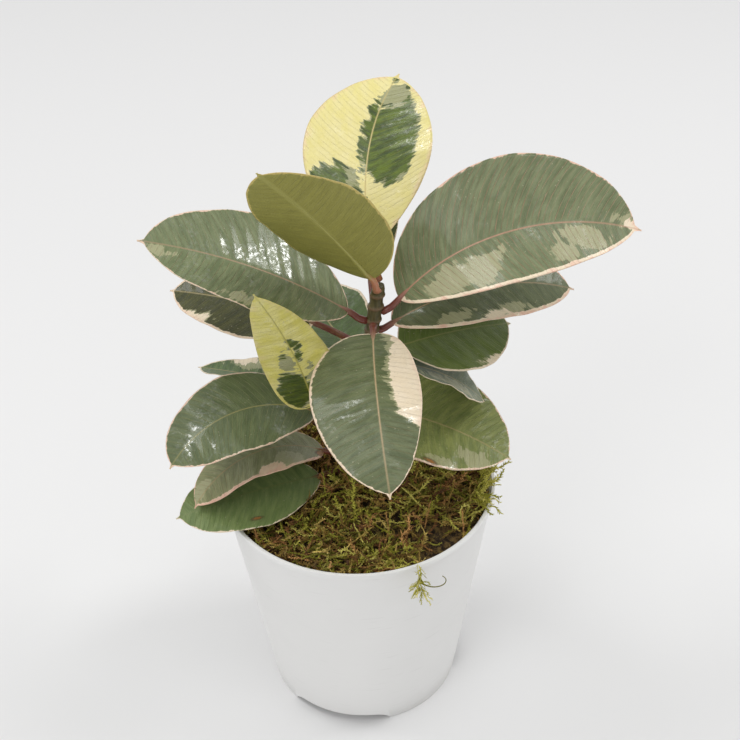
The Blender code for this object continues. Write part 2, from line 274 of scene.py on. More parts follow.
def place_piece(name, bm, finishes, node=None):
    """Make a smooth-shaded piece that rides on the frame."""
    mesh = bpy.data.meshes.new(name)
    bm.to_mesh(mesh)
    bm.free()
    mesh.shade_smooth()
    for finish in finishes:
        mesh.materials.append(finish.material)
    obj = bpy.data.objects.new(name, mesh)
    scene.collection.objects.link(obj)
    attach(obj, "root")
    if node:
        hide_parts(node)
    print(name, len(mesh.polygons), "faces")
    return obj


def heading(azimuth, rise):
    """The unit vector at this compass turn and this angle above the horizontal."""
    turned, up = math.radians(azimuth), math.radians(rise)
    flat = math.cos(up)
    return Vector((flat * math.cos(turned), flat * math.sin(turned), math.sin(up)))


def add_tube(bm, centre, sides, steps):
    """Wrap a grid round a centre line and close its ends.

    centre(share) gives the point, its two cross directions and the radius at that share
    of the length. The faces that were made are returned.
    """
    made = bmesh.ops.create_grid(bm, x_segments=steps, y_segments=sides, size=0.5)
    verts = made["verts"]
    faces = list({face for vert in verts for face in vert.link_faces})
    for vert in verts:
        share = vert.co.x + 0.5
        angle = math.tau * (vert.co.y + 0.5)
        point, side, normal, radius = centre(share)
        vert.co = point + radius * (math.cos(angle) * side + math.sin(angle) * normal)
    bmesh.ops.remove_doubles(bm, verts=verts, dist=MERGE_REACH)
    alive = [face for face in faces if face.is_valid]
    rims = [edge for face in alive for edge in face.edges if edge.is_boundary]
    caps = bmesh.ops.holes_fill(bm, edges=list(set(rims)), sides=sides + 1)["faces"]
    bmesh.ops.recalc_face_normals(bm, faces=alive + caps)
    return alive + caps


print("piece helpers ready")

# %% [markdown]
# ## The floor
#
# The real plant stands on a white table top. A curved studio backdrop would do as well,
# but one large plane is enough, because the camera looks down and never sees past it. It
# is a stage piece, not part of the plant.

# %% Floor
FLOOR_REACH = 6.0
floor_finish = Finish("pale table top", roughness=0.7)
floor_finish.set("Base Color", (0.80, 0.80, 0.80, 1))
bm = bmesh.new()
bmesh.ops.create_grid(bm, x_segments=1, y_segments=1, size=FLOOR_REACH)
floor_mesh = bpy.data.meshes.new("floor")
bm.to_mesh(floor_mesh)
bm.free()
floor_mesh.materials.append(floor_finish.material)
floor = bpy.data.objects.new("floor", floor_mesh)
scene.collection.objects.link(floor)
print("floor laid")

# %% [markdown]
# ## The pot
#
# A nursery pot is blow-moulded or injection-moulded in thin white plastic: a tapered
# wall, a narrow lip, and a foot ring with notches that let water out. A moulded pot is a
# turned shape, so its outline is spun round its axis. The notches are then taken out of
# the foot by a Boolean with a rounded cutter, which keeps the wall's real thickness.

# %% Pot outline and cutters
POT_HEIGHT = POT_HIGH[2]
RIM_RADIUS = (POT_HIGH[0] - POT_LOW[0]) / 2
FOOT_RADIUS = 0.055
WALL = 0.0016
LIP_HEIGHT = 0.0040
LIP_PROUD = 0.0007
FLOOR_LOW, FLOOR_TOP = 0.0080, 0.0100
NOTCHES = (253, 13, 133)
NOTCH_HALF_ANGLE = 32
NOTCH_HEIGHT = 0.0060
DRAIN_RADIUS = 0.0045
DRAIN_RING = 0.036
DRAIN_FIRST = 8
DRAIN_COUNT = 8
FOOT_EDGE = 0.0005
NOTCH_REACH = 0.012
NOTCH_DROP = 0.0004
CUTTER_FOOT = -0.004
POT_STEPS = 144


def wall_radius(height):
    """The outer radius of the tapered wall at this height."""
    return FOOT_RADIUS + (RIM_RADIUS - LIP_PROUD - FOOT_RADIUS) * height / POT_HEIGHT


lip_foot = POT_HEIGHT - LIP_HEIGHT
inner = RIM_RADIUS - LIP_PROUD - WALL
outline = [(0.0, FLOOR_LOW), (wall_radius(FLOOR_LOW) - WALL, FLOOR_LOW)]
outline += [(FOOT_RADIUS - WALL, FOOT_EDGE), (FOOT_RADIUS - WALL + 0.0004, 0.0)]
outline += [(FOOT_RADIUS - FOOT_EDGE, 0.0), (FOOT_RADIUS, FOOT_EDGE)]
outline += [(wall_radius(lip_foot * share), lip_foot * share) for share in (0.1, 0.3, 0.6, 0.9, 1)]
outline += [(RIM_RADIUS - 0.0002, lip_foot + 0.0002), (RIM_RADIUS, lip_foot + 0.0006)]
outline += [(RIM_RADIUS, POT_HEIGHT - 0.0008), (RIM_RADIUS - 0.0002, POT_HEIGHT - 0.0002)]
outline += [(RIM_RADIUS - 0.0008, POT_HEIGHT), (inner + 0.0006, POT_HEIGHT)]
outline += [(inner, POT_HEIGHT - 0.0006)]
outline += [(wall_radius(height) - WALL, height) for height in (0.09, 0.05, FLOOR_TOP + 0.003)]
outline += [(wall_radius(FLOOR_TOP) - WALL - 0.003, FLOOR_TOP), (0.0, FLOOR_TOP)]


def spun(points, steps, centre):
    """Spin an outline of (radius, height) points, from axis to axis, into a closed shape."""
    made = bmesh.new()
    corners = [made.verts.new((radius, 0, height)) for radius, height in points]
    edges = [made.edges.new(pair) for pair in zip(corners, corners[1:])]
    bmesh.ops.spin(made, geom=corners + edges, axis=(0, 0, 1), cent=(0, 0, 0),
                   angle=math.tau, steps=steps, use_merge=True)
    bmesh.ops.remove_doubles(made, verts=made.verts, dist=MERGE_REACH)
    bmesh.ops.triangulate(made, faces=[face for face in made.faces if len(face.verts) > 4])
    bmesh.ops.recalc_face_normals(made, faces=made.faces)
    bmesh.ops.translate(made, verts=made.verts, vec=centre)
    return made


def notch_cutter(bm, azimuth):
    """A curved bar with a domed top, laid round the foot between two feet."""
    made = bmesh.ops.create_grid(bm, x_segments=24, y_segments=1, size=0.5)
    faces = list({face for vert in made["verts"] for face in vert.link_faces})
    for vert in made["verts"]:
        share = 2 * vert.co.x
        radius = FOOT_RADIUS + NOTCH_REACH * 2 * vert.co.y
        top = NOTCH_HEIGHT * (1 - abs(share) ** 9) - NOTCH_DROP
        point = radius * heading(azimuth + share * NOTCH_HALF_ANGLE, 0)
        vert.co = POT_AXIS + Vector((point.x, point.y, top))
    grown = bmesh.ops.extrude_face_region(bm, geom=faces)["geom"]
    for item in grown:
        if isinstance(item, bmesh.types.BMVert):
            item.co.z = CUTTER_FOOT
    bmesh.ops.recalc_face_normals(bm, faces=bm.faces)


def drain_cutter(bm, point):
    """A short rod through the pot's floor."""
    bmesh.ops.create_cone(bm, cap_ends=True, segments=24, radius1=DRAIN_RADIUS,
                          radius2=DRAIN_RADIUS, depth=0.006,
                          matrix=Matrix.Translation(point + Vector((0, 0, FLOOR_LOW + 0.001))))


print(len(outline), "points in the pot's outline")

# %% [markdown]
# The plastic is white, faintly warm and satin. One plain colour would look like a
# drawing, because thin moulded plastic is never quite even in tone. So there is a low
# mottling in the colour, a few dull scuffs that run round the wall, some dust at the foot,
# and a very fine ripple from the mould.

# %% Pot finish
pot_finish = Finish("white nursery plastic", roughness=0.42, coat=0.1, coat_roughness=0.3)
place = pot_finish.place()
x, y, z = pot_finish.split(place)
mottle = pot_finish.noise(place, 22, 3)
scuffs = pot_finish.noise(pot_finish.join(x * 60, y * 60, z * 700), 1, 3).step(0.60, 0.80)
dust = (1 - z.step(0.0, 0.020)) * mottle.step(0.35, 0.7)
white = pot_finish.mix(mottle, (0.80, 0.797, 0.785, 1), (0.86, 0.857, 0.845, 1))
white = pot_finish.mix(scuffs * 0.25, white, (0.62, 0.615, 0.60, 1))
white = pot_finish.mix(dust * 0.18, white, (0.50, 0.47, 0.42, 1))
pot_finish.set("Base Color", white)
pot_finish.set("Roughness", mottle * 0.16 + 0.36 + scuffs * 0.1)
ripple = pot_finish.noise(pot_finish.join(x * 30, y * 30, z * 90), 1, 2)
pot_finish.bump(ripple + pot_finish.noise(place, 900, 2) * 0.12, 0.0003, 0.5)
print("pot finish has", len(pot_finish.tree.nodes), "nodes")

# %% [markdown]
# The cutter is one object that holds every notch and drain hole, so a single Boolean makes
# all the cuts. Its result is read back as a plain mesh, and both helpers are removed.

# %% Cut the pot
cutter_bm = bmesh.new()
for azimuth in NOTCHES:
    notch_cutter(cutter_bm, azimuth)
drain_cutter(cutter_bm, POT_AXIS)
for index in range(DRAIN_COUNT):
    turned = DRAIN_FIRST + 360 / DRAIN_COUNT * index
    drain_cutter(cutter_bm, POT_AXIS + DRAIN_RING * heading(turned, 0))
cutter_mesh = bpy.data.meshes.new("pot cutter")
cutter_bm.to_mesh(cutter_mesh)
cutter_bm.free()
cutter = bpy.data.objects.new("pot_cutter", cutter_mesh)
scene.collection.objects.link(cutter)

pot_bm = spun(outline, POT_STEPS, POT_AXIS)
pot_mesh = bpy.data.meshes.new("pot blank")
pot_bm.to_mesh(pot_mesh)
pot_bm.free()
blank = bpy.data.objects.new("pot_blank", pot_mesh)
scene.collection.objects.link(blank)
boolean = blank.modifiers.new("notches", "BOOLEAN")
boolean.solver = "EXACT"
boolean.object = cutter
bpy.context.view_layer.update()
graph = bpy.context.evaluated_depsgraph_get()
cut_pot = bpy.data.meshes.new_from_object(blank.evaluated_get(graph))
bm = bmesh.new()
bm.from_mesh(cut_pot)
bmesh.ops.remove_doubles(bm, verts=bm.verts, dist=MERGE_REACH)
for spare in (blank, cutter):
    bpy.data.objects.remove(spare, do_unlink=True)
pot = place_piece("nursery_pot", bm, [pot_finish], node="pot")
pot.data.set_sharp_from_angle(angle=math.radians(38))

# %% [markdown]
# ## Soil
#
# Under the moss is dark peat with crumbs and bits of bark. The solid from the frame has
# the right shape, so it keeps its mesh and only gets a finish. The crumbs on top are
# separate low lumps, because a bump alone looks flat where the soil meets the wall.

# %% Soil finish
soil_finish = Finish("peat soil", roughness=0.95)
place = soil_finish.place()
grit = soil_finish.noise(place, 420, 4, 0.7)
lumps = soil_finish.cells(place, 300)
earth = soil_finish.mix(grit.step(0.3, 0.75), (0.010, 0.0065, 0.004, 1), (0.060, 0.038, 0.022, 1))
bark_bits = soil_finish.noise(place, 150, 2).step(0.6, 0.7)
earth = soil_finish.mix(bark_bits * 0.5, earth, (0.11, 0.065, 0.03, 1))
soil_finish.set("Base Color", earth)
soil_finish.bump(grit + lumps, 0.0015, 0.9)
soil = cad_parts["soil"]
for material_slot in soil.material_slots:
    material_slot.material = soil_finish.material
print("soil has", len(soil.material_slots), "finished slots")

# %% Crumbs
MOSS_REACH = wall_radius(SOIL_TOP) - WALL - 0.0012
CRUMBS = 900
CRUMB_RISE = 0.0045
draw = random.Random(11)
bm = bmesh.new()
for index in range(CRUMBS):
    reach = MOSS_REACH * math.sqrt(draw.uniform(0.35, 1.0))
    spot = reach * heading(draw.uniform(0, 360), 0)
    size = draw.uniform(0.0006, 0.0017)
    made = bmesh.ops.create_icosphere(bm, subdivisions=1, radius=size)["verts"]
    for vert in made:
        vert.co *= draw.uniform(0.75, 1.25)
    squash = Matrix.Diagonal((draw.uniform(0.8, 1.5), 1, draw.uniform(0.5, 0.9), 1))
    lift = CRUMB_RISE * max(0.0, 1 - (reach / MOSS_REACH) ** 6) + 0.0004
    where = POT_AXIS + Vector((spot.x, spot.y, SOIL_TOP + lift))
    spin = Matrix.Rotation(draw.uniform(0, math.tau), 4, "Z")
    bmesh.ops.transform(bm, matrix=Matrix.Translation(where) @ spin @ squash, verts=made)
place_piece("soil_crumbs", bm, [soil_finish])

# %% [markdown]
# ## Moss
#
# The dressing is dried sheet moss: a tangle of thin, curly, feathery shoots over a dark
# felt. Hair particles are the usual tool for this, but they stay smooth strands. Here, a
# few kinds of shoot are modelled once, each a bent thread with small leaflets, and
# thousands of copies are turned, sized and laid over a low dome. Each copy carries its own
# tone, which the finish turns into yellow-green, olive or brown.

# %% The dome under the moss
MOSS_CROWN = 0.0150
MOSS_EDGE = 0.0050
MOSS_BUMP = 0.0022
DOME_INSET = 0.0022
DOME_ROUGH = 0.0007
DOME_RINGS, DOME_STEPS = 20, 96


def moss_top(x, y):
    """How high the moss stands over the soil, at this place from the pot's axis."""
    share = min(math.hypot(x, y) / MOSS_REACH, 1.0)
    crown = MOSS_EDGE + (MOSS_CROWN - MOSS_EDGE) * (1 - share**2)
    bumps = math.sin(190 * x + 1.0) * math.cos(170 * y) + 0.6 * math.sin(330 * y + 240 * x)
    return crown + MOSS_BUMP * bumps * (1 - share**4)


print("moss stands", round(moss_top(0, 0), 4), "above the soil at the axis")

# %% The felt
felt_finish = Finish("dark moss felt", roughness=0.95)
place = felt_finish.place()
fibre = felt_finish.noise(place, 260, 5, 0.75)
patch = felt_finish.noise(place, 45, 2).step(0.4, 0.65)
felt = felt_finish.mix(fibre.step(0.40, 0.65), (0.022, 0.012, 0.005, 1), (0.22, 0.13, 0.045, 1))
felt = felt_finish.mix(patch * fibre.step(0.45, 0.62) * 0.6, felt, (0.30, 0.27, 0.05, 1))
felt_finish.set("Base Color", felt)
felt_finish.bump(fibre, 0.003, 1.0)

dome = [(0.0, SOIL_TOP), (MOSS_REACH - 0.001, SOIL_TOP), (MOSS_REACH - 0.001, SOIL_TOP + 0.002)]
rings_inwards = range(DOME_RINGS - 1, -1, -1)
dome += [(MOSS_REACH * ring / DOME_RINGS, SOIL_TOP + 0.01) for ring in rings_inwards]
bm = spun(dome, DOME_STEPS, POT_AXIS)
draw = random.Random(5)
for vert in bm.verts:
    if vert.co.z > SOIL_TOP + 0.005:
        flat = vert.co - POT_AXIS
        rough = draw.uniform(-DOME_ROUGH, DOME_ROUGH)
        vert.co.z = SOIL_TOP + moss_top(flat.x, flat.y) - DOME_INSET + rough
place_piece("moss_felt", bm, [felt_finish], node="moss")

# %% [markdown]
# One shoot is a thread of unit length that bends and twists as it grows, with a short
# spike on alternate sides. It is repeated thousands of times, so the thread has three
# sides and each spike is a three-sided cone.

# %% Kinds of shoot
SHOOT_KINDS = 9
SHOOT_STEPS = 8
LEAFLETS = 20
LINE_STEPS = 40
THREAD_RADIUS = 0.027
LEAFLET_RADIUS = 0.034
LEAFLET_FLATNESS = 0.6


def shoot_line(kind):
    """The points and directions along one curly thread of unit length."""
    draw = random.Random(100 + kind)
    bend, twist = draw.uniform(2.4, 8.0), draw.uniform(-4.5, 4.5)
    wobble = draw.uniform(1.5, 4.0)
    points, point, forward = [], Vector(), Vector((1, 0, 0.25)).normalized()
    for index in range(LINE_STEPS + 1):
        points.append((point.copy(), forward.copy()))
        share = index / LINE_STEPS
        turn = Matrix.Rotation(bend / LINE_STEPS * math.cos(wobble * share * 3), 3, "Z")
        lift = Matrix.Rotation(twist / LINE_STEPS * math.sin(wobble * share * 4 + kind), 3, "Y")
        forward = (lift @ turn @ forward).normalized()
        point = point + forward / LINE_STEPS
    return points


def make_shoot(kind):
    """One feathery shoot: a thin bent thread with leaflets on alternate sides."""
    bm = bmesh.new()
    line = shoot_line(kind)
    draw = random.Random(200 + kind)

    def thread(share):
        point, forward = line[min(int(share * LINE_STEPS + 0.5), LINE_STEPS)]
        side = forward.cross(Vector((0, 0, 1))).normalized()
        return point, side, side.cross(forward), THREAD_RADIUS * (1.05 - 0.6 * share)

    add_tube(bm, thread, 3, SHOOT_STEPS)
    for index in range(LEAFLETS):
        share = 0.08 + 0.90 * index / LEAFLETS
        point, forward = line[int(share * LINE_STEPS)]
        side = forward.cross(Vector((0, 0, 1))).normalized()
        flank = side if index % 2 else -side
        reach = (0.13 - 0.06 * share) * draw.uniform(0.7, 1.3)
        outward = flank * 0.75 + forward * 0.75 + Vector((0, 0, draw.uniform(-0.5, 0.7)))
        tip = point + outward * reach
        made = bmesh.ops.create_cone(bm, cap_ends=True, segments=3, radius1=LEAFLET_RADIUS,
                                     radius2=0, depth=1)
        aim = (tip - point).to_track_quat("Z", "Y").to_matrix().to_4x4()
        stretch = Matrix.Diagonal((1, LEAFLET_FLATNESS, (tip - point).length, 1))
        middle = Matrix.Translation((point + tip) / 2)
        bmesh.ops.transform(bm, matrix=middle @ aim @ stretch, verts=made["verts"])
    mesh = bpy.data.meshes.new(f"shoot kind {kind}")
    bm.to_mesh(mesh)
    bm.free()
    return mesh


shoots = [make_shoot(kind) for kind in range(SHOOT_KINDS)]
print(len(shoots), "kinds of shoot,", len(shoots[0].polygons), "faces each")

# %% [markdown]
# The shoots of one colour family form one piece. A material for every shoot would take
# hundreds of them, so the tone of each shoot is a number on its points instead, and one
# finish turns it into a colour between dark and light.


# %% Moss finish
def moss_finish(name, dark, middle, light):
    finish = Finish(name, roughness=0.85)
    tone = finish.attribute("tone")
    speck = finish.noise(finish.place(), 500, 2)
    colour = finish.mix(tone.step(0.0, 0.55), dark, middle)
    colour = finish.mix(tone.step(0.5, 1.0), colour, light)
    colour = finish.mix((1 - speck.step(0.3, 0.6)) * 0.45, colour, dark)
    finish.set("Base Color", colour)
    return finish


MOSS_TONES = {
    "green moss": ((0.16, 0.15, 0.014), (0.46, 0.44, 0.050), (0.86, 0.78, 0.20)),
    "olive moss": ((0.17, 0.10, 0.020), (0.50, 0.34, 0.075), (0.84, 0.64, 0.19)),
    "brown moss": ((0.10, 0.042, 0.012), (0.36, 0.165, 0.050), (0.72, 0.40, 0.14)),
}
moss_finishes = [moss_finish(name, *tones) for name, tones in MOSS_TONES.items()]
green_moss, olive_moss, brown_moss = moss_finishes
print(len(MOSS_TONES), "moss finishes")


# %% Lay one shoot
def add_shoot(bm, tone_layer, kind, where, azimuth, rise, roll, length, tone, thick=1.0):
    """Lay one copy of a shoot, and write its tone on its points. Angles are in degrees."""
    first = len(bm.verts)
    bm.from_mesh(shoots[kind])
    bm.verts.ensure_lookup_table()
    made = bm.verts[first:]
    size = Matrix.Diagonal((length, length * thick, length * thick, 1))
    turn = Matrix.Rotation(math.radians(azimuth), 4, "Z")
    turn = turn @ Matrix.Rotation(math.radians(-rise), 4, "Y")
    turn = turn @ Matrix.Rotation(math.radians(roll), 4, "X")
    bmesh.ops.transform(bm, matrix=Matrix.Translation(where) @ turn @ size, verts=made)
    for vert in made:
        vert[tone_layer] = tone
    return made


# %% [markdown]
# The shoots lie mostly flat. Where one would pass through the pot's wall, its points are
# pulled in to the wall, which is how real moss bunches up against a rim. Under the lowest
# leaf they are pressed down: a ray that is cast upwards finds the leaf's underside. Three
# spots in front of the stem and towards the right rim stay thin, so that dark felt shows.

# %% Lay the moss
BARE_SPOTS = ((0.014, -0.036, 0.013), (0.046, -0.046, 0.016), (0.030, -0.062, 0.010))
MOSS_LAYS = (
    ("moss_olive", olive_moss, 1250, 31, 0.0),
    ("moss_green", green_moss, 1300, 32, 0.0008),
    ("moss_brown", brown_moss, 800, 33, -0.0006),
)
WALL_ROOM = 0.0006
LEAF_ROOM = 0.0012
SOIL_ROOM = 0.0004
LOW_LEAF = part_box("leaf_lowest")
graph = bpy.context.evaluated_depsgraph_get()
low_leaf_tree = BVHTree.FromObject(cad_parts["leaf_lowest"], graph)


def keep_inside(verts):
    """Pull points back inside the pot's wall, and press them down under the lowest leaf."""
    for vert in verts:
        flat = Vector((vert.co.x - POT_AXIS.x, vert.co.y - POT_AXIS.y))
        most = wall_radius(min(vert.co.z, POT_HEIGHT)) - WALL - WALL_ROOM
        if flat.length > most:
            flat = flat * (most / flat.length)
            vert.co.x, vert.co.y = POT_AXIS.x + flat.x, POT_AXIS.y + flat.y
        if vert.co.x < LOW_LEAF[1][0] and LOW_LEAF[0][1] < vert.co.y < LOW_LEAF[1][1]:
            underside = low_leaf_tree.ray_cast((vert.co.x, vert.co.y, 0), (0, 0, 1))[0]
            if underside:
                vert.co.z = min(vert.co.z, underside.z - LEAF_ROOM)
        vert.co.z = max(vert.co.z, SOIL_TOP + SOIL_ROOM)


def in_bare_spot(x, y, draw):
    for spot_x, spot_y, reach in BARE_SPOTS:
        if math.hypot(x - spot_x, y - spot_y) < reach * draw.uniform(0.6, 1.1):
            return True
    return False


def green_share(x, y):
    """Where the moss is greener: the left front and the right rim."""
    left = math.exp(-((x + 0.020) ** 2 + (y + 0.045) ** 2) / 0.0012)
    right = math.exp(-((x - 0.055) ** 2 + (y + 0.010) ** 2) / 0.0010)
    return min(1.0, 0.35 + 0.9 * left + 0.8 * right)


for name, finish, count, seed, lift in MOSS_LAYS:
    draw = random.Random(seed)
    bm = bmesh.new()
    tone_layer = bm.verts.layers.float.new("tone")
    for index in range(count):
        reach = MOSS_REACH * math.sqrt(draw.uniform(0.004, 0.985))
        spot = reach * heading(draw.uniform(0, 360), 0)
        if in_bare_spot(spot.x, spot.y, draw):
            continue
        if finish is green_moss and draw.random() > green_share(spot.x, spot.y):
            continue
        height = SOIL_TOP + moss_top(spot.x, spot.y) - DOME_INSET + lift
        height += draw.uniform(-0.001, 0.002)
        where = POT_AXIS + Vector((spot.x, spot.y, height))
        made = add_shoot(bm, tone_layer, draw.randrange(SHOOT_KINDS), where,
                         draw.uniform(0, 360), draw.gauss(14, 20), draw.uniform(0, 360),
                         draw.uniform(0.010, 0.024), draw.random(), draw.uniform(0.7, 1.1))
        keep_inside(made)
    place_piece(name, bm, [finish])

# %% [markdown]
# A few loose sprigs escape over the rim: some stand out past the right edge, and one
# hangs down over the front with a looped tendril beside it. They are the same shoots,
# placed one by one, because moss laid at random wouldn't leave them where the eye goes.

# %% Sprigs over the rim
SPRIG_SIDE_COUNT = 64
SPRIG_HANG_COUNT = 40
TENDRIL_REACH, TENDRIL_DROP = 0.0065, 0.0055
TENDRIL_RADIUS = 0.00036
draw = random.Random(77)
bm = bmesh.new()
tone_layer = bm.verts.layers.float.new("tone")
for index in range(SPRIG_SIDE_COUNT):
    azimuth = draw.uniform(-22, 34)
    where = POT_AXIS + (RIM_RADIUS - draw.uniform(0.006, 0.011)) * heading(azimuth, 0)
    where.z = POT_HEIGHT + draw.uniform(0.0015, 0.0055)
    add_shoot(bm, tone_layer, draw.randrange(SHOOT_KINDS), where, azimuth + draw.uniform(-60, 60),
              draw.uniform(8, 60), draw.uniform(0, 360), draw.uniform(0.010, 0.020),
              draw.uniform(0.4, 1))
HANG_FROM = POT_AXIS + Vector((0.0290, -0.0690, POT_HEIGHT + 0.0022))
HANG_TO = HANG_FROM + Vector((0.0010, -0.0085, -0.0020))
for index in range(SPRIG_HANG_COUNT):
    share = index / (SPRIG_HANG_COUNT - 1)
    fall = -0.0125 * max(0.0, share - 0.25)
    drop = Vector((0.0012 * math.sin(9 * share), -0.0012 * share, fall))
    where = HANG_FROM.lerp(HANG_TO, min(1.0, share * 3)) + drop
    add_shoot(bm, tone_layer, draw.randrange(SHOOT_KINDS), where, draw.uniform(180, 360),
              draw.uniform(-75, 0), draw.uniform(0, 360), draw.uniform(0.005, 0.0095),
              draw.uniform(0.4, 1))


def tendril(share):
    """A thin looped thread that leaves the hanging sprig to the right."""
    angle = math.pi * 1.25 * share
    point = HANG_TO + Vector((TENDRIL_REACH - TENDRIL_REACH * math.cos(angle), -0.0010 * share,
                              -TENDRIL_DROP * math.sin(angle) - 0.002 * share))
    along = Vector((TENDRIL_REACH * math.sin(angle), 0, -TENDRIL_DROP * math.cos(angle)))
    side = Vector((0, 1, 0))
    return point, side, side.cross(along.normalized()), TENDRIL_RADIUS * (1.1 - 0.5 * share)


add_tube(bm, tendril, 5, 24)
place_piece("moss_sprigs", bm, [green_moss])

# %% [markdown]
# ## The stem
#
# The stem is woody and brown-olive near the top and greener below. Wherever a leaf joins,
# there is a low ring. A curve with a round bevel would give a smooth rod, so one grid is
# wrapped round the leaning centre line instead, and its radius swells at every ring.

# %% Stem shape
STEM_FOOT = Vector((-0.0067, 0.0049))
STEM_LEAN = Vector((0.147, -0.035))
STEM_FOOT_RADIUS = 0.0045
STEM_TOP_RADIUS = 0.0034
STEM_RING = 0.0006
STEM_ABOVE_MOSS = 0.1220
CROWN = SOIL_TOP + MOSS_CROWN
STEM_TOP = CROWN + STEM_ABOVE_MOSS


def stem_point(height):
    """The stem's centre at this height, in the plant's frame."""
    climb = height - SOIL_TOP
    return POT_AXIS + Vector((STEM_FOOT.x + STEM_LEAN.x * climb,
                              STEM_FOOT.y + STEM_LEAN.y * climb, height))


def stem_radius(height):
    share = min(max((height - SOIL_TOP) / (STEM_TOP - SOIL_TOP), 0), 1)
    return STEM_FOOT_RADIUS + (STEM_TOP_RADIUS - STEM_FOOT_RADIUS) * share


print("stem from", round(SOIL_TOP, 4), "to", round(STEM_TOP, 4))

# %% [markdown]
# ## The leaves, as a gardener would describe them
#
# Each row says where a leaf joins the stem, how its petiole and its blade grow, and how
# they hang: heights from the moss's crown, lengths and widths in metres, and angles in
# degrees. A rise is an angle above the horizontal, and the blade bends evenly from its
# first rise to its last.

# %% Leaf table
from typing import NamedTuple


class Leaf(NamedTuple):
    """Where one leaf leaves the stem, how it grows and how it hangs."""

    name: str
    height: float
    azimuth: float
    petiole: float
    petiole_rise: float
    length: float
    width: float
    rise: float
    end_rise: float
    sweep: float = 0.0
    roll: float = 0.0
    fold: float = 12.0
    petiole_turn: float = 0.0
    belly: float = 0.50
    skew: float = 0.0
    wave: float = 0.0010
    waves: float = 2.0


LEAVES = (
    Leaf("leaf_top", 0.1140, 100, 0.022, 65, 0.100, 0.064, 52, 22, sweep=-45, belly=0.54),
    Leaf("leaf_youngest", 0.1208, 214, 0.011, 79, 0.101, 0.053, 57, 46,
         sweep=13, roll=40, fold=16, petiole_turn=45, belly=0.43, skew=0.05),
    Leaf("leaf_upper_left", 0.1010, 190, 0.010, 50, 0.112, 0.057, 41, 17, roll=-22, sweep=2),
    Leaf("leaf_upper_right", 0.1060, 0, 0.010, 45, 0.130, 0.0636, 52, -20, roll=38, skew=-0.142),
    Leaf("leaf_right_second", 0.0940, 12, 0.006, 30, 0.101, 0.046, 30, -26, roll=22),
    Leaf("leaf_right_back", 0.0785, 16, 0.012, 10, 0.062, 0.058, 9, -8, roll=18),
    Leaf("leaf_right_inner", 0.0733, 354, 0.014, 8, 0.050, 0.035, -6, -53, sweep=3, roll=-9),
    Leaf("leaf_lower_right", 0.0456, 344, 0.006, -6, 0.074, 0.057, -1, -23,
         sweep=-12, roll=15, fold=16, skew=0.035, belly=0.42),
    Leaf("leaf_front", 0.0998, 269, 0.0094, 22, 0.094, 0.051, 0, -41,
         sweep=10, roll=3, fold=15, skew=0.20, belly=0.465),
    Leaf("leaf_yellow", 0.0205, 248.5, 0.0435, 57, 0.101, 0.0335, 71, 59,
         sweep=-18, roll=-141, fold=9, petiole_turn=-36, belly=0.36, skew=0.02),
    Leaf("leaf_left_back", 0.0840, 160, 0.026, 25, 0.082, 0.046, 12, -6, roll=-20, belly=0.42),
    Leaf("leaf_back_low", 0.0640, 112, 0.012, 20, 0.096, 0.050, 5, -15),
    Leaf("leaf_back_high", 0.1080, 97, 0.012, 45, 0.098, 0.040, 34, 10),
    Leaf("leaf_left_small", 0.0447, 152.5, 0.026, 9, 0.072, 0.0315, -1.5, -11,
         roll=12, fold=18, skew=0.04),
    Leaf("leaf_lower_left", 0.0358, 182.5, 0.018, 16, 0.090, 0.053, 29, -42,
         sweep=44, roll=-9, fold=9, skew=-0.13, belly=0.47),
    Leaf("leaf_lower_left_second", 0.0143, 185, 0.011, -10, 0.0835, 0.042, 28.5, -46.5,
         sweep=41, roll=7, fold=3, skew=-0.09, belly=0.44),
    Leaf("leaf_lowest", 0.0020, 202, 0.013, -8, 0.0815, 0.047, 8, -12,
         sweep=-3, roll=-10, skew=-0.12),
)
print(len(LEAVES), "leaves")

# %% [markdown]
# A leaf that falls leaves a ring on the stem, and so does each one that still grows. Where
# two would lie closer than two ring lengths, only the lower one is kept.

# %% Rings on the stem
RING_BELOW_LEAF = 0.0045
RING_LENGTH = 0.0022
rings = []
for foot in sorted(CROWN + leaf.height - RING_BELOW_LEAF for leaf in LEAVES):
    if foot - (rings[-1] if rings else SOIL_TOP) > 2 * RING_LENGTH:
        rings.append(foot)
print(len(rings), "stem rings")

# %% Stem finish
stem_finish = Finish("green-brown stem", roughness=0.5, coat=0.15, coat_roughness=0.3)
place = stem_finish.place()
x, y, z = stem_finish.split(place)
streak = stem_finish.noise(stem_finish.join(x * 700, y * 700, z * 90), 1, 3)
age = z.step(SOIL_TOP + 0.02, STEM_TOP - 0.02)
bark = stem_finish.mix(age, (0.16, 0.19, 0.035, 1), (0.060, 0.050, 0.012, 1))
bark = stem_finish.mix(streak.step(0.42, 0.62) * 0.55, bark, (0.13, 0.105, 0.035, 1))
bark = stem_finish.mix(stem_finish.attribute("ring") * 0.8, bark, (0.17, 0.10, 0.05, 1))
pale_dots = stem_finish.cells(place, 700).step(0.0, 0.25) * -0.3 + 0.3
bark = stem_finish.mix(pale_dots, bark, (0.30, 0.24, 0.13, 1))
stem_finish.set("Base Color", bark)
stem_finish.set("Roughness", streak * 0.25 + 0.40)
stem_finish.bump(streak + stem_finish.noise(place, 900, 2) * 0.4, 0.0004, 0.8)
print("stem finish has", len(stem_finish.tree.nodes), "nodes")

# %% Stem piece
STEM_START = SOIL_TOP + 0.002
STEM_SIDES, STEM_STEPS = 28, 260


def ring_swell(height):
    """How much a ring swells the stem here, from 0 to 1."""
    near = min(abs(height - ring) for ring in rings)
    return max(0.0, 1 - (near / (RING_LENGTH * 0.55)) ** 2)


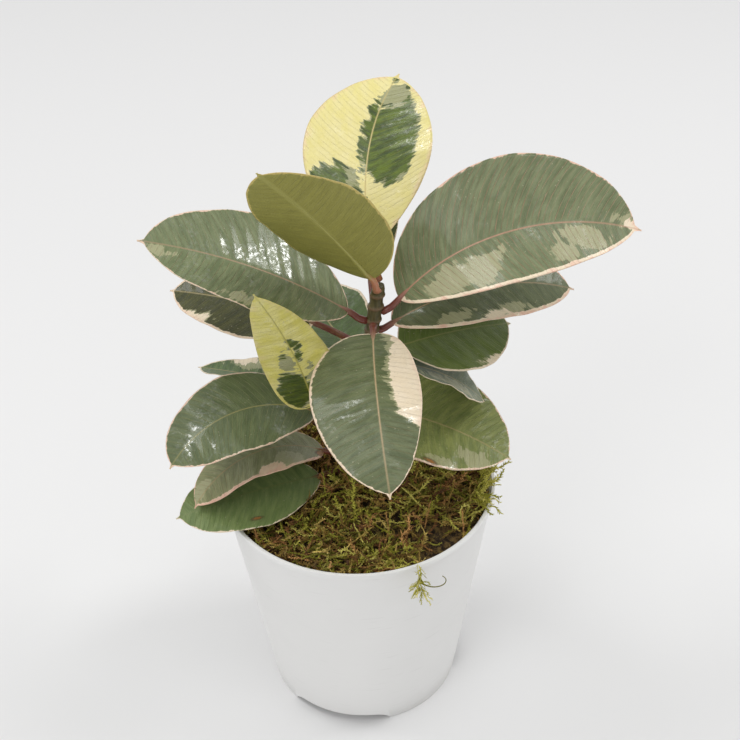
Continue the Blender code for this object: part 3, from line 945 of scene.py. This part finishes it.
def stem_line(share):
    height = STEM_START + (STEM_TOP - STEM_START) * share
    knobbly = 0.00018 * math.sin(310 * height) + 0.00012 * math.sin(733 * height)
    end = 0.0006 * max(0.0, share - 0.985) / 0.015
    radius = stem_radius(height) + STEM_RING * ring_swell(height) + knobbly - end
    return stem_point(height), Vector((1, 0, 0)), Vector((0, 1, 0)), radius


bm = bmesh.new()
ring_layer = bm.verts.layers.float.new("ring")
add_tube(bm, stem_line, STEM_SIDES, STEM_STEPS)
for vert in bm.verts:
    vert[ring_layer] = ring_swell(vert.co.z)
place_piece("stem_bark", bm, [stem_finish], node="stem")

# %% [markdown]
# ## The bud
#
# The next leaf is rolled up in a pointed sheath: orange-brown at its foot and pink
# towards its tip, with fine lengthwise lines. It is round and straight, so the same tube
# helper makes it, with a radius that is read from a short table.

# %% Bud sheath
BUD_LENGTH = 0.060
BUD_RADIUS = 0.0032
BUD_SWELL = ((0.0, 0.7), (0.12, 1.0), (0.35, 0.92), (0.6, 0.66), (0.82, 0.36), (1.0, 0.06))
BUD_SIDES, BUD_STEPS = 20, 60
BUD_AZIMUTH, BUD_RISE = 172, 66
BUD_UP = heading(BUD_AZIMUTH, BUD_RISE)
BUD_SIDE = heading(BUD_AZIMUTH - 90, 0)
BUD_FOOT = stem_point(STEM_TOP) + Vector((0, 0, 0.0003 + BUD_RADIUS * 0.75))


def bud_line(share):
    for (low, first), (high, last) in zip(BUD_SWELL, BUD_SWELL[1:]):
        if low <= share <= high:
            part = (share - low) / (high - low)
            part = part * part * (3 - 2 * part)
            swell = first + (last - first) * part
    point = BUD_FOOT + BUD_LENGTH * share * BUD_UP
    return point, BUD_SIDE, BUD_SIDE.cross(BUD_UP), BUD_RADIUS * swell


bud_finish = Finish("pink bud sheath", roughness=0.4, coat=0.2, coat_roughness=0.25)
along = bud_finish.attribute("along")
place = bud_finish.place()
x, y, z = bud_finish.split(place)
lines = bud_finish.noise(bud_finish.join(x * 1300, y * 1300, z * 60), 1, 2)
skin = bud_finish.mix(along.step(0.05, 0.6), (0.23, 0.085, 0.030, 1), (0.62, 0.25, 0.17, 1))
skin = bud_finish.mix(along.step(0.6, 1.0), skin, (0.80, 0.42, 0.30, 1))
skin = bud_finish.mix(lines.step(0.45, 0.65) * 0.4, skin, (0.42, 0.12, 0.07, 1))
bud_finish.set("Base Color", skin)
bud_finish.bump(lines, 0.0003, 0.7)
bm = bmesh.new()
along_layer = bm.verts.layers.float.new("along")
add_tube(bm, bud_line, BUD_SIDES, BUD_STEPS)
for vert in bm.verts:
    vert[along_layer] = (vert.co - BUD_FOOT).dot(BUD_UP) / BUD_LENGTH
place_piece("bud_sheath_skin", bm, [bud_finish], node="bud_sheath")

# %% [markdown]
# ## The shape of a leaf
#
# A rubber plant's blade is a thick oval with a short drip tip. It is folded a little
# along its midrib and ripples near its margin. Sculpting seventeen of them by hand would
# be slow and hard to change. So each blade starts as a flat grid. Each of
# its points has a share along the leaf and a place across it, and is moved to where the
# bent, folded leaf has that point. Its second face is extruded from the first, so it has
# a real thickness. The petiole and the midrib are one tapering tube along the blade.

# %% Leaf maths
LEAF_THICKNESS = 0.0007
TIP_HALF_WIDTH = 0.0004
ROUND_END = 0.97
FULLNESS = 0.60
TIP_START = 0.86
TIP_WIDTH = 0.24
PETIOLE_RADIUS = 0.0019
PETIOLE_ROOM = 0.0003
SPINE_STEPS = 60
PETIOLE_STEPS = 4
ROWS = 84
COLUMNS = 32


def half_width(leaf, share):
    """Half the blade's width at this share of its length."""
    round_share = min(share / ROUND_END, 1.0)
    body = math.sin(math.pi * round_share ** (math.log(0.5) / math.log(leaf.belly)))
    tip = TIP_WIDTH * min((1 - share) / (1 - TIP_START), 1.0) * min(share / 0.5, 1.0)
    return max(leaf.width / 2 * math.hypot(max(body, 0.0) ** FULLNESS, tip), TIP_HALF_WIDTH)


def leaf_frame(azimuth, rise, roll):
    """Along the blade, to its right side, and out of its upper face."""
    along = heading(azimuth, rise)
    side = heading(azimuth - 90, 0)
    normal = side.cross(along)
    turned = math.radians(roll)
    right = math.cos(turned) * side - math.sin(turned) * normal
    return along, right, math.cos(turned) * normal + math.sin(turned) * side


def petiole_frame(leaf, share):
    azimuth = leaf.azimuth + leaf.petiole_turn * (1 - share)
    rise = leaf.petiole_rise + (leaf.rise - leaf.petiole_rise) * share
    return leaf_frame(azimuth, rise, leaf.roll * share)


def blade_frame(leaf, share):
    rise = leaf.rise + (leaf.end_rise - leaf.rise) * share
    return leaf_frame(leaf.azimuth + leaf.sweep * share, rise, leaf.roll)


def leaf_lines(leaf):
    """The centre points of the petiole and of the blade, each as a list."""
    foot = CROWN + leaf.height
    slope = math.sin(math.radians(leaf.petiole_rise))
    gap = stem_radius(foot) + STEM_RING + PETIOLE_ROOM + PETIOLE_RADIUS * abs(slope)
    point = stem_point(foot) + gap * heading(leaf.azimuth + leaf.petiole_turn, 0)
    petiole = [point]
    for index in range(PETIOLE_STEPS):
        along = petiole_frame(leaf, index / PETIOLE_STEPS)[0]
        point = point + along * leaf.petiole / PETIOLE_STEPS
        petiole.append(point)
    blade = [point]
    for index in range(SPINE_STEPS):
        along = blade_frame(leaf, index / SPINE_STEPS)[0]
        point = point + along * leaf.length / SPINE_STEPS
        blade.append(point)
    return petiole, blade


def on_line(points, share):
    """The point at this share of a line of evenly spaced points."""
    spot = min(max(share, 0.0), 1.0) * (len(points) - 1)
    index = min(int(spot), len(points) - 2)
    return points[index].lerp(points[index + 1], spot - index)


print("leaf maths ready")

# %% [markdown]
# ## Where the leaf is green and where it is cream
#
# In a variegated rubber plant the outer layers of some sectors have no chlorophyll. The
# blade is grey-green in the middle, sage where one layer is missing, and cream or pink
# where two are. The borders run along the side veins, with jagged ends. For each leaf the
# table below gives its greens, its margin and its patches. Painting each leaf by hand
# would need picture files, so a patch is an oval: its share along the leaf, its place
# across it in millimetres, and its half length and half width. Noise roughens it later.

# %% Leaf colours and what a look holds
GREY_DEEP, GREY_MID = (0.078, 0.104, 0.038), (0.150, 0.178, 0.078)
GREEN_DEEP = (0.050, 0.085, 0.014)
VIVID_DEEP, VIVID_MID = (0.024, 0.052, 0.002), (0.128, 0.190, 0.003)
SAGE = (0.42, 0.41, 0.235)
CREAM = (0.88, 0.74, 0.54)
PALE_YELLOW = (0.80, 0.71, 0.27)
YELLOW = (0.66, 0.60, 0.13)
PINK = (0.84, 0.48, 0.35)


class Look(NamedTuple):
    """How one leaf is coloured: deep and mid green, cream, margins in millimetres, then the
    shares of pink blush, vein tint and wax, the patches, and the other colours."""

    deep: tuple = GREY_DEEP
    mid: tuple = GREY_MID
    cream_colour: tuple = CREAM
    margin: float = 0.6
    near_margin: float = 0.0
    blush: float = 0.45
    ribs: float = 0.5
    wax: float = 0.5
    cream: tuple = ()
    sage: tuple = ()
    scar: tuple = ()
    green: tuple = ()
    rib: tuple = (0.42, 0.33, 0.15)
    petiole: tuple = (0.16, 0.035, 0.022)
    under: tuple = (0.20, 0.24, 0.10)


print("a look has", len(Look._fields), "settings")

# %% Leaf looks
LOOKS = {
    "leaf_top": Look(
        deep=VIVID_DEEP, mid=VIVID_MID, cream_colour=PALE_YELLOW, margin=2.2, blush=0.35, wax=0.5,
        green=((0.58, 10.5, 27, 14.5), (0.64, -2.0, 20, 4.0), (0.22, -16, 21, 16),
               (0.96, 1.5, 9, 2.4), (0.84, 6, 11, 8)),
        sage=((0.86, 5.0, 9, 8.0), (0.36, -7, 9, 3)), rib=(0.62, 0.50, 0.20),
        under=(0.42, 0.40, 0.14)),
    "leaf_youngest": Look(
        deep=(0.11, 0.12, 0.03), mid=(0.20, 0.21, 0.055), cream_colour=(0.66, 0.52, 0.17),
        margin=0.9, blush=0.2, rib=(0.40, 0.38, 0.10), petiole=(0.52, 0.20, 0.12),
        under=(0.305, 0.288, 0.062)),
    "leaf_upper_left": Look(
        deep=(0.108, 0.144, 0.054), mid=(0.205, 0.243, 0.112), wax=1.0, ribs=0.7, blush=0.5,
        rib=(0.42, 0.27, 0.16), sage=((0.93, -4, 6, 3), (0.55, -24, 10, 3))),
    "leaf_upper_right": Look(
        deep=(0.110, 0.144, 0.058), mid=(0.210, 0.246, 0.120), margin=0.35, near_margin=2.6,
        blush=0.75, ribs=1.3, wax=0.55, rib=(0.50, 0.26, 0.17), cream=((0.97, -1, 6, 2.0),),
        sage=((0.22, 12, 15, 8), (0.36, 15, 9, 9), (0.42, 10, 7, 4), (0.78, 8, 13, 6),
              (0.70, 15, 9, 5), (0.92, -4, 6, 3))),
    "leaf_right_second": Look(
        near_margin=1.6, blush=0.85, ribs=0.7, rib=(0.40, 0.27, 0.15), cream=((0.50, 20, 6, 3),),
        sage=((0.30, 15, 9, 4), (0.62, 16, 8, 3))),
    "leaf_right_back": Look(
        deep=(0.095, 0.142, 0.022), mid=(0.155, 0.210, 0.046), margin=1.3, blush=0.1, ribs=1.5,
        rib=(0.25, 0.26, 0.08), cream=((0.80, 24, 10, 4),)),
    "leaf_right_inner": Look(
        deep=(0.085, 0.125, 0.050), mid=(0.17, 0.21, 0.10), margin=1.0, blush=0.1,
        sage=((0.5, 8, 14, 5),)),
    # Painted light: these greens are the leaf's own tone, made paler to make up for the shade that
    # the leaves above cast on it.
    "leaf_lower_right": Look(
        deep=(0.160, 0.200, 0.052), mid=(0.280, 0.310, 0.090), near_margin=0.7, blush=0.6,
        wax=1.3, rib=(0.42, 0.34, 0.14), scar=((0.50, 27, 4.0, 1.3),),
        sage=((0.80, 12, 12, 5), (0.60, 24, 9, 4))),
    "leaf_front": Look(
        margin=0.8, blush=0.25, wax=0.55, rib=(0.50, 0.36, 0.20), cream=((0.31, -20, 33, 13.5),),
        sage=((0.26, -10, 24, 5.5),)),
    "leaf_yellow": Look(
        deep=VIVID_DEEP, mid=(0.12, 0.16, 0.012), cream_colour=YELLOW, margin=1.5, blush=0.12,
        wax=0.8, rib=(0.40, 0.36, 0.08), petiole=(0.14, 0.05, 0.03), under=(0.40, 0.38, 0.11),
        green=((0.17, -6.5, 18, 9.5), (0.42, -5, 7, 3.5), (0.56, 1.5, 5, 3), (0.26, 4.5, 11, 3),
               (0.45, 2, 8, 1.6)),
        sage=((0.40, -4, 9, 5), (0.30, 3, 10, 4))),
    "leaf_left_back": Look(
        deep=(0.030, 0.036, 0.005), mid=(0.075, 0.078, 0.010), margin=1.4, blush=0.4,
        cream=((0.75, -16, 8, 3),)),
    "leaf_back_low": Look(
        deep=GREEN_DEEP, mid=(0.085, 0.150, 0.030), margin=1.4, blush=0.1, wax=0.8),
    "leaf_back_high": Look(mid=(0.11, 0.15, 0.075), blush=0.2),
    "leaf_left_small": Look(
        deep=(0.055, 0.105, 0.025), mid=(0.13, 0.20, 0.055), margin=1.0, blush=0.05,
        cream=((0.68, 13, 9, 4),), sage=((0.60, 9, 12, 4),)),
    "leaf_lower_left": Look(
        deep=(0.080, 0.113, 0.038), mid=(0.145, 0.180, 0.070), margin=0.9, blush=0.65, ribs=1.1,
        wax=1.3, rib=(0.33, 0.30, 0.11)),
    # Painted light: these greens are the leaf's own tone, made paler to make up for the shade that
    # the leaves above cast on it.
    "leaf_lower_left_second": Look(
        deep=(0.195, 0.212, 0.084), mid=(0.320, 0.330, 0.155), cream_colour=(0.87, 0.62, 0.44),
        near_margin=-1.4, blush=0.9, ribs=0.9, wax=0.2, rib=(0.42, 0.29, 0.13),
        cream=((0.42, -21, 8, 6.5),), sage=((0.28, -14, 9, 9), (0.9, 3, 8, 4)),
        scar=((0.02, -5, 4, 3),)),
    # Painted light: these greens are the leaf's own tone, made paler to make up for the shade that
    # the leaves above cast on it.
    "leaf_lowest": Look(
        deep=(0.140, 0.205, 0.062), mid=(0.230, 0.295, 0.108), margin=0.5, blush=0.1, ribs=0.6,
        wax=0.35, rib=(0.20, 0.24, 0.08), scar=((0.52, -20, 3, 1.2),)),
}
print(len(LOOKS), "leaf looks")


# %% Patches and blends
OUTSIDE = -20.0


def patch_depth(patches, full_length, length, across):
    """How deep this point lies in the nearest oval, in millimetres. Outside is negative."""
    best = OUTSIDE
    for share, place, half_length, half_across in patches:
        along = (length - share * full_length) / half_length
        span = math.hypot(along, (across - place) / half_across)
        best = max(best, (1 - span) * min(half_length, half_across))
    return best


def blend(first, second, share):
    """A colour between two others."""
    return tuple(a + (b - a) * share for a, b in zip(first, second))


print("half way from deep to mid:", blend(GREY_DEEP, GREY_MID, 0.5))

# %% [markdown]
# ## The leaf finish
#
# The pattern follows the veins. Side veins of a rubber plant leave the midrib at about
# seventy degrees, nearly straight and only a few millimetres apart, so `vein` below counts
# millimetres along the leaf minus a share of the distance from the midrib: it is constant
# along any one side vein. Noise stretched along `vein` gives the streaks, and the same
# noise makes the cream and sage borders jagged where they meet the green. A plain noise
# in the object's own coordinates would be simpler, but it would ignore the veins.


# %% Leaf pattern
UV_PER_MM = 0.007
VEIN_SLANT, VEIN_BEND = 0.36, 0.006
RIB_SPACING, THREAD_SPACING = 1.45, 0.48


class Pattern(NamedTuple):
    """The masks that a leaf's colours and bumps are made from."""

    place: Val
    out: Val
    wide: Val
    fine: Val
    blotch: Val
    cream: Val
    sage: Val
    ribs: Val
    thread: Val
    rust: Val


def leaf_pattern(finish):
    """Work in millimetres on the flat leaf: x across it, y along it, out from its midrib."""
    u, v, _ = finish.split(finish.node("ShaderNodeUVMap", {"uv_map": "leaf"}, {}))
    x, y = (u - 0.5) / UV_PER_MM, v / UV_PER_MM
    out, side = x.size(), x.sign()
    vein = y - out * VEIN_SLANT - out * out * VEIN_BEND
    band = finish.join(side * 9 + out * 0.075, vein * 0.34, side * 3)
    wide = finish.noise(band, 1.0, 3, 0.6)
    fine = finish.noise(finish.join(side * 5 + out * 0.10, vein * 2.1, 4), 1.0, 3, 0.65)
    blotch = finish.noise(finish.join(x * 0.13, vein * 0.15, side * 2), 1.0, 3, 0.55)

    ragged = (wide - 0.5) * 8 + (blotch - 0.5) * 9 + (fine - 0.5) * 1.6
    margin = finish.attribute("band") + (wide - 0.5) * 2.2 + (blotch - 0.5) * 2.4
    cream = (finish.attribute("cream") + ragged).over(margin)
    sage = finish.attribute("sage") + ragged * 1.2 + (fine - 0.5) * 2
    ridge = 1 - ((vein + (wide - 0.5) * 1.4) / RIB_SPACING).bounce(1.0).step(0.02, 0.17)
    return Pattern(
        place=finish.place(), out=out, wide=wide, fine=fine, blotch=blotch,
        cream=cream.step(-0.15, 0.25), sage=sage.step(-0.3, 0.3),
        ribs=ridge * out.step(0.4, 3.0) * (blotch.step(0.30, 0.62) * 0.8 + 0.25),
        thread=1 - (vein / THREAD_SPACING).bounce(1.0).step(0.0, 0.35),
        rust=finish.attribute("scar") + (fine - 0.5) * 2.0)


print("a leaf pattern has", len(Pattern._fields), "masks")

# %% [markdown]
# The upper face is painted in layers, as a painter would: the greens, the sage, the cream
# with its pink flush, then the veins over them, and last the pale specks and rusty scars.

# %% Upper face
PALE_CREAM = (1, 0.95, 0.85)
SPECK = (0.55, 0.50, 0.36)
RUST, RUST_EDGE = (0.36, 0.15, 0.035), (0.09, 0.035, 0.015)


def upper_colour(finish, look, masks):
    green = finish.mix(masks.wide.step(0.30, 0.72), look.deep, look.mid)
    green = finish.mix(masks.fine.step(0.45, 0.75) * 0.45, green, look.mid)
    green = finish.mix(masks.blotch.step(0.50, 0.72) * 0.55, green, look.deep)
    sage = finish.mix(masks.fine.step(0.35, 0.65), blend(SAGE, look.mid, 0.3), SAGE)
    colour = finish.mix(masks.sage * 0.88, green, sage)

    lighter = blend(look.cream_colour, PALE_CREAM, 0.25)
    pale = finish.mix(masks.blotch.step(0.35, 0.65) * 0.5, look.cream_colour, lighter)
    flush = (masks.blotch - 0.5) * 2.4 + (3.2 - finish.attribute("edge")) * 0.16
    pale = finish.mix(flush.step(0.0, 0.75) * look.blush, pale, PINK)
    pale = finish.mix(masks.fine.step(0.62, 0.74) * 0.12, pale, SAGE)
    colour = finish.mix(masks.cream, colour, pale)

    rib_tone = blend(look.mid, look.rib, 0.75)
    tint = masks.ribs * (0.50 * look.ribs) * (1 - masks.cream * 0.9)
    colour = finish.mix(tint, colour, rib_tone)
    tint = masks.thread * (0.12 * look.ribs) * (1 - masks.cream * 0.8)
    colour = finish.mix(tint, colour, rib_tone)
    colour = finish.mix((1 - masks.out.step(0.25, 0.75)) * 0.4, colour, look.rib)

    specks = 1 - finish.cells(masks.place, 420).step(0.05, 0.16)
    pick = finish.noise(masks.place, 130, 1).step(0.52, 0.60)
    colour = finish.mix(specks * pick * 0.55, colour, SPECK)
    colour = finish.mix(masks.rust.step(-0.1, 0.5), colour, RUST)
    rim = masks.rust.step(-0.8, 0.0) * (1 - masks.rust.step(0.0, 0.5))
    return finish.mix(rim * 0.6, colour, RUST_EDGE)


print("upper face ready")

# %% [markdown]
# The underside is paler, flatter in tone and much less glossy. The midrib stands out on it
# as a broad pale line.

# %% Lower face
BACK_SAGE = (0.36, 0.36, 0.19)


def lower_colour(finish, look, masks):
    darker = blend(look.under, (0, 0, 0), 0.16)
    brighter = blend(look.under, (1, 1, 0.6), 0.09)
    colour = finish.mix(masks.wide.step(0.3, 0.7), darker, look.under)
    colour = finish.mix(masks.fine.step(0.5, 0.75) * 0.5, colour, brighter)
    colour = finish.mix(masks.sage * 0.35, colour, BACK_SAGE)
    colour = finish.mix(masks.cream * 0.9, colour, blend(look.cream_colour, look.under, 0.15))
    colour = finish.mix(masks.ribs * 0.5 * (1 - masks.cream * 0.6), colour, brighter)
    midrib = 1 - masks.out.step(0.6, 1.8)
    return finish.mix(midrib * 0.6, colour, blend(look.rib, brighter, 0.5))


print("lower face ready")

# %% [markdown]
# The gloss is a second, wet-looking coat over the skin. A new leaf mirrors the lights in
# broken, drop-like patches, so noise decides where the coat is thick, and a waxier leaf
# has more of it. A few low bumps under it bend the reflections.

# %% Leaf gloss and relief
COAT_IOR = 1.85
DRY_START, WET_PER_WAX, WET_EDGE = 0.57, 0.10, 0.12
THIN_COAT = 0.12


def leaf_finish(name, look):
    finish = Finish(name, roughness=0.34, coat=0.45, coat_roughness=0.11)
    finish.set("Coat IOR", COAT_IOR)
    masks = leaf_pattern(finish)
    under = finish.attribute("under")
    upper, lower = upper_colour(finish, look, masks), lower_colour(finish, look, masks)
    finish.set("Base Color", finish.mix(under, upper, lower))

    place = masks.place
    pores = finish.noise(place, 750, 3, 0.7)
    drops = finish.noise(place, 520, 4, 0.75).step(0.47, 0.60)
    dry = DRY_START - WET_PER_WAX * look.wax
    wet = finish.noise(place, 62, 3, 0.6).step(dry, dry + WET_EDGE) * drops
    finish.set("Roughness", pores * 0.20 + 0.30 + under * 0.20)
    finish.set("Coat Weight", (1 - under * 0.85) * (wet * look.wax + THIN_COAT))
    height = masks.ribs * -0.50 + masks.thread * -0.08 + pores * 0.30
    height = height + finish.noise(place, 95, 2) + masks.fine * 0.15 + drops * 0.12
    height = height + masks.rust.step(-0.5, 0.3) * 0.5
    finish.bump(height, 0.00055, 0.75)
    return finish


def rib_finish(name, look):
    """The petiole and midrib: one ruddy or green tube that pales along the blade."""
    finish = Finish(name, roughness=0.38, coat=0.3, coat_roughness=0.2)
    along = finish.attribute("along")
    place = finish.place()
    grain = finish.noise(place, 260, 3)
    darker = blend(look.rib, (0, 0, 0), 0.4)
    colour = finish.mix(along.step(-0.03, 0.10), look.petiole, look.rib)
    colour = finish.mix(along.step(0.55, 1.0) * 0.5, colour, look.mid)
    colour = finish.mix(grain.step(0.4, 0.7) * 0.30, colour, darker)
    colour = finish.mix(finish.attribute("under") * 0.5, colour, look.under)
    finish.set("Base Color", colour)
    finish.bump(grain, 0.0002, 0.5)
    return finish


print("leaf finishes ready")

# %% [markdown]
# ## Making one leaf
#
# `make_leaf` moves a grid on to the leaf's surface, extrudes it to its thickness, writes
# the numbers that the finish reads, and wraps the petiole and midrib tube. The margin
# curls and ripples by a slow sine, with smaller dents from a second one, because no
# real margin is quite smooth.


# %% Leaf builder
LEAF_LAYERS = ("edge", "under", "band", "cream", "sage", "scar", "along", "across", "length")
TUBE_SIDES, TUBE_STEPS = 12, 72
MM = 1000
DENT_DEPTH = 0.00022
QUILT_DEPTH, QUILT_SPACING = 0.00018, 0.0076


def blade_point(leaf, blade, share, place):
    """A point of the upper face, the face's direction there, and where it is on the flat leaf."""
    _, right, upper = blade_frame(leaf, share)
    half = half_width(leaf, share)
    spread = half * place * (1 + leaf.skew * place)
    lift = half * math.sin(math.radians(leaf.fold)) * (1 - 0.5 * share) * abs(place) ** 1.3
    phase = 0 if place < 0 else 1.9
    ripple = leaf.wave * math.sin(math.tau * leaf.waves * share + phase)
    dents = math.sin(math.tau * leaf.waves * 3.3 * share + len(leaf.name) + 2.2 * phase)
    dents *= DENT_DEPTH
    edge_lift = (ripple + dents) * place**2 * math.sin(math.pi * share)
    vein = share * leaf.length - abs(spread) * VEIN_SLANT
    quilt = QUILT_DEPTH * math.sin(math.tau * vein / QUILT_SPACING)
    quilt *= min(1, abs(place) * 4) * (1 - place**4) * math.sin(math.pi * share)
    point = on_line(blade, share) + right * spread + upper * (lift + edge_lift + quilt)
    return point, upper, spread * MM, half * MM


def pale_depths(leaf, look, place, across, length, edge):
    """The depth inside the margin band and the cream, sage and scar areas, in millimetres."""
    full = leaf.length * MM
    band = look.margin
    if place * look.near_margin > 0:
        band += abs(look.near_margin)
    cream = patch_depth(look.cream, full, length, across)
    if look.green:
        cream = max(cream, -patch_depth(look.green, full, length, across))
    sage = max(cream + 0.8, patch_depth(look.sage, full, length, across))
    return band - edge, cream, sage, patch_depth(look.scar, full, length, across)


print("blade helpers ready")

# %% [markdown]
# The tube starts a little inside the stem, as a petiole does, so no gap shows. Under the
# blade it sinks until only a low ridge stands proud of the upper face.

# %% Petiole and midrib
PETIOLE_TUCK = 0.0024
PETIOLE_END = 0.85
RIB_END_RADIUS = 0.00028


def rib_line(leaf, petiole, blade):
    """The centre line of the petiole and, from there on, of the midrib under the blade."""
    turn_share = leaf.petiole / (leaf.petiole + leaf.length)

    def centre(share):
        if share < turn_share:
            part = share / turn_share
            frame_here = petiole_frame(leaf, part * 0.75)
            base = max(0, 1 - 4 * part)
            outward = heading(leaf.azimuth + leaf.petiole_turn, 0)
            tucked = on_line(petiole, part) - base * PETIOLE_TUCK * outward
            radius = PETIOLE_RADIUS * (1 - 0.15 * part + 0.22 * base)
            return tucked, frame_here[1], frame_here[2], radius
        part = (share - turn_share) / (1 - turn_share)
        _, right, upper = blade_frame(leaf, part)
        thick = PETIOLE_RADIUS * PETIOLE_END
        radius = thick + (RIB_END_RADIUS - thick) * part**0.42
        proud = 0.00010 - 0.00007 * part
        sink = (radius - proud) * min(part / 0.06, 1)
        return on_line(blade, part * 0.94) - upper * sink, right, upper, radius

    return centre, turn_share


print("rib line ready")


# %% Blade and tube together
def make_leaf(leaf):
    """Build one blade with its petiole and midrib, finish both, and place the piece."""
    look = LOOKS[leaf.name]
    petiole, blade = leaf_lines(leaf)
    bm = bmesh.new()
    uv_layer = bm.loops.layers.uv.new("leaf")
    layer = {name: bm.verts.layers.float.new(name) for name in LEAF_LAYERS}
    verts = bmesh.ops.create_grid(bm, x_segments=ROWS, y_segments=COLUMNS, size=0.5)["verts"]
    for vert in verts:
        share = 0.5 - 0.5 * math.cos(math.pi * (vert.co.x + 0.5))
        place = 0.35 * math.sin(math.pi * vert.co.y) + 0.65 * 2 * vert.co.y
        vert.co, vert.normal, across, half = blade_point(leaf, blade, share, place)
        length = share * leaf.length * MM
        to_tip = leaf.length * MM - length
        edge = min(half * (1 - abs(place)), length * 0.8 + 0.3, to_tip * 0.7 + 0.2)
        depths = pale_depths(leaf, look, place, across, length, edge)
        values = (edge, 0, *depths, share, across, length)
        for name, value in zip(LEAF_LAYERS, values):
            vert[layer[name]] = value
    uppers = {tuple(round(v, 7) for v in vert.co): vert.normal.copy() for vert in verts}
    lower = bmesh.ops.extrude_face_region(bm, geom=list(bm.faces))["geom"]
    for vert in [item for item in lower if isinstance(item, bmesh.types.BMVert)]:
        upper = uppers[tuple(round(v, 7) for v in vert.co)]
        thin = 0.4 + 0.6 * min(vert[layer["edge"]] / 3, 1)
        vert.co -= upper * LEAF_THICKNESS * thin
        vert[layer["under"]] = 1
    bmesh.ops.recalc_face_normals(bm, faces=bm.faces)
    for face in bm.faces:
        for loop in face.loops:
            here = loop.vert
            across, length = here[layer["across"]], here[layer["length"]]
            loop[uv_layer].uv = (0.5 + UV_PER_MM * across, UV_PER_MM * length)
    centre, turn_share = rib_line(leaf, petiole, blade)
    before = set(bm.verts)
    for face in add_tube(bm, centre, TUBE_SIDES, TUBE_STEPS):
        face.material_index = 1
    for vert in bm.verts:
        if vert in before:
            continue
        reach = (vert.co - petiole[0]).length / (leaf.petiole + leaf.length)
        vert[layer["along"]] = (reach - turn_share) / (1 - turn_share)
        share = min(max(vert[layer["along"]], 0), 1)
        from_centre = vert.co - centre(turn_share + share * (1 - turn_share))[0]
        below = from_centre.dot(blade_frame(leaf, share)[2]) < -0.0002
        vert[layer["under"]] = float(below and vert[layer["along"]] > 0.02)
    finishes = [leaf_finish(leaf.name + " skin", look), rib_finish(leaf.name + " rib", look)]
    return place_piece(leaf.name + "_blade", bm, finishes, node=leaf.name)


# %% Make all the leaves
for leaf in LEAVES:
    make_leaf(leaf)
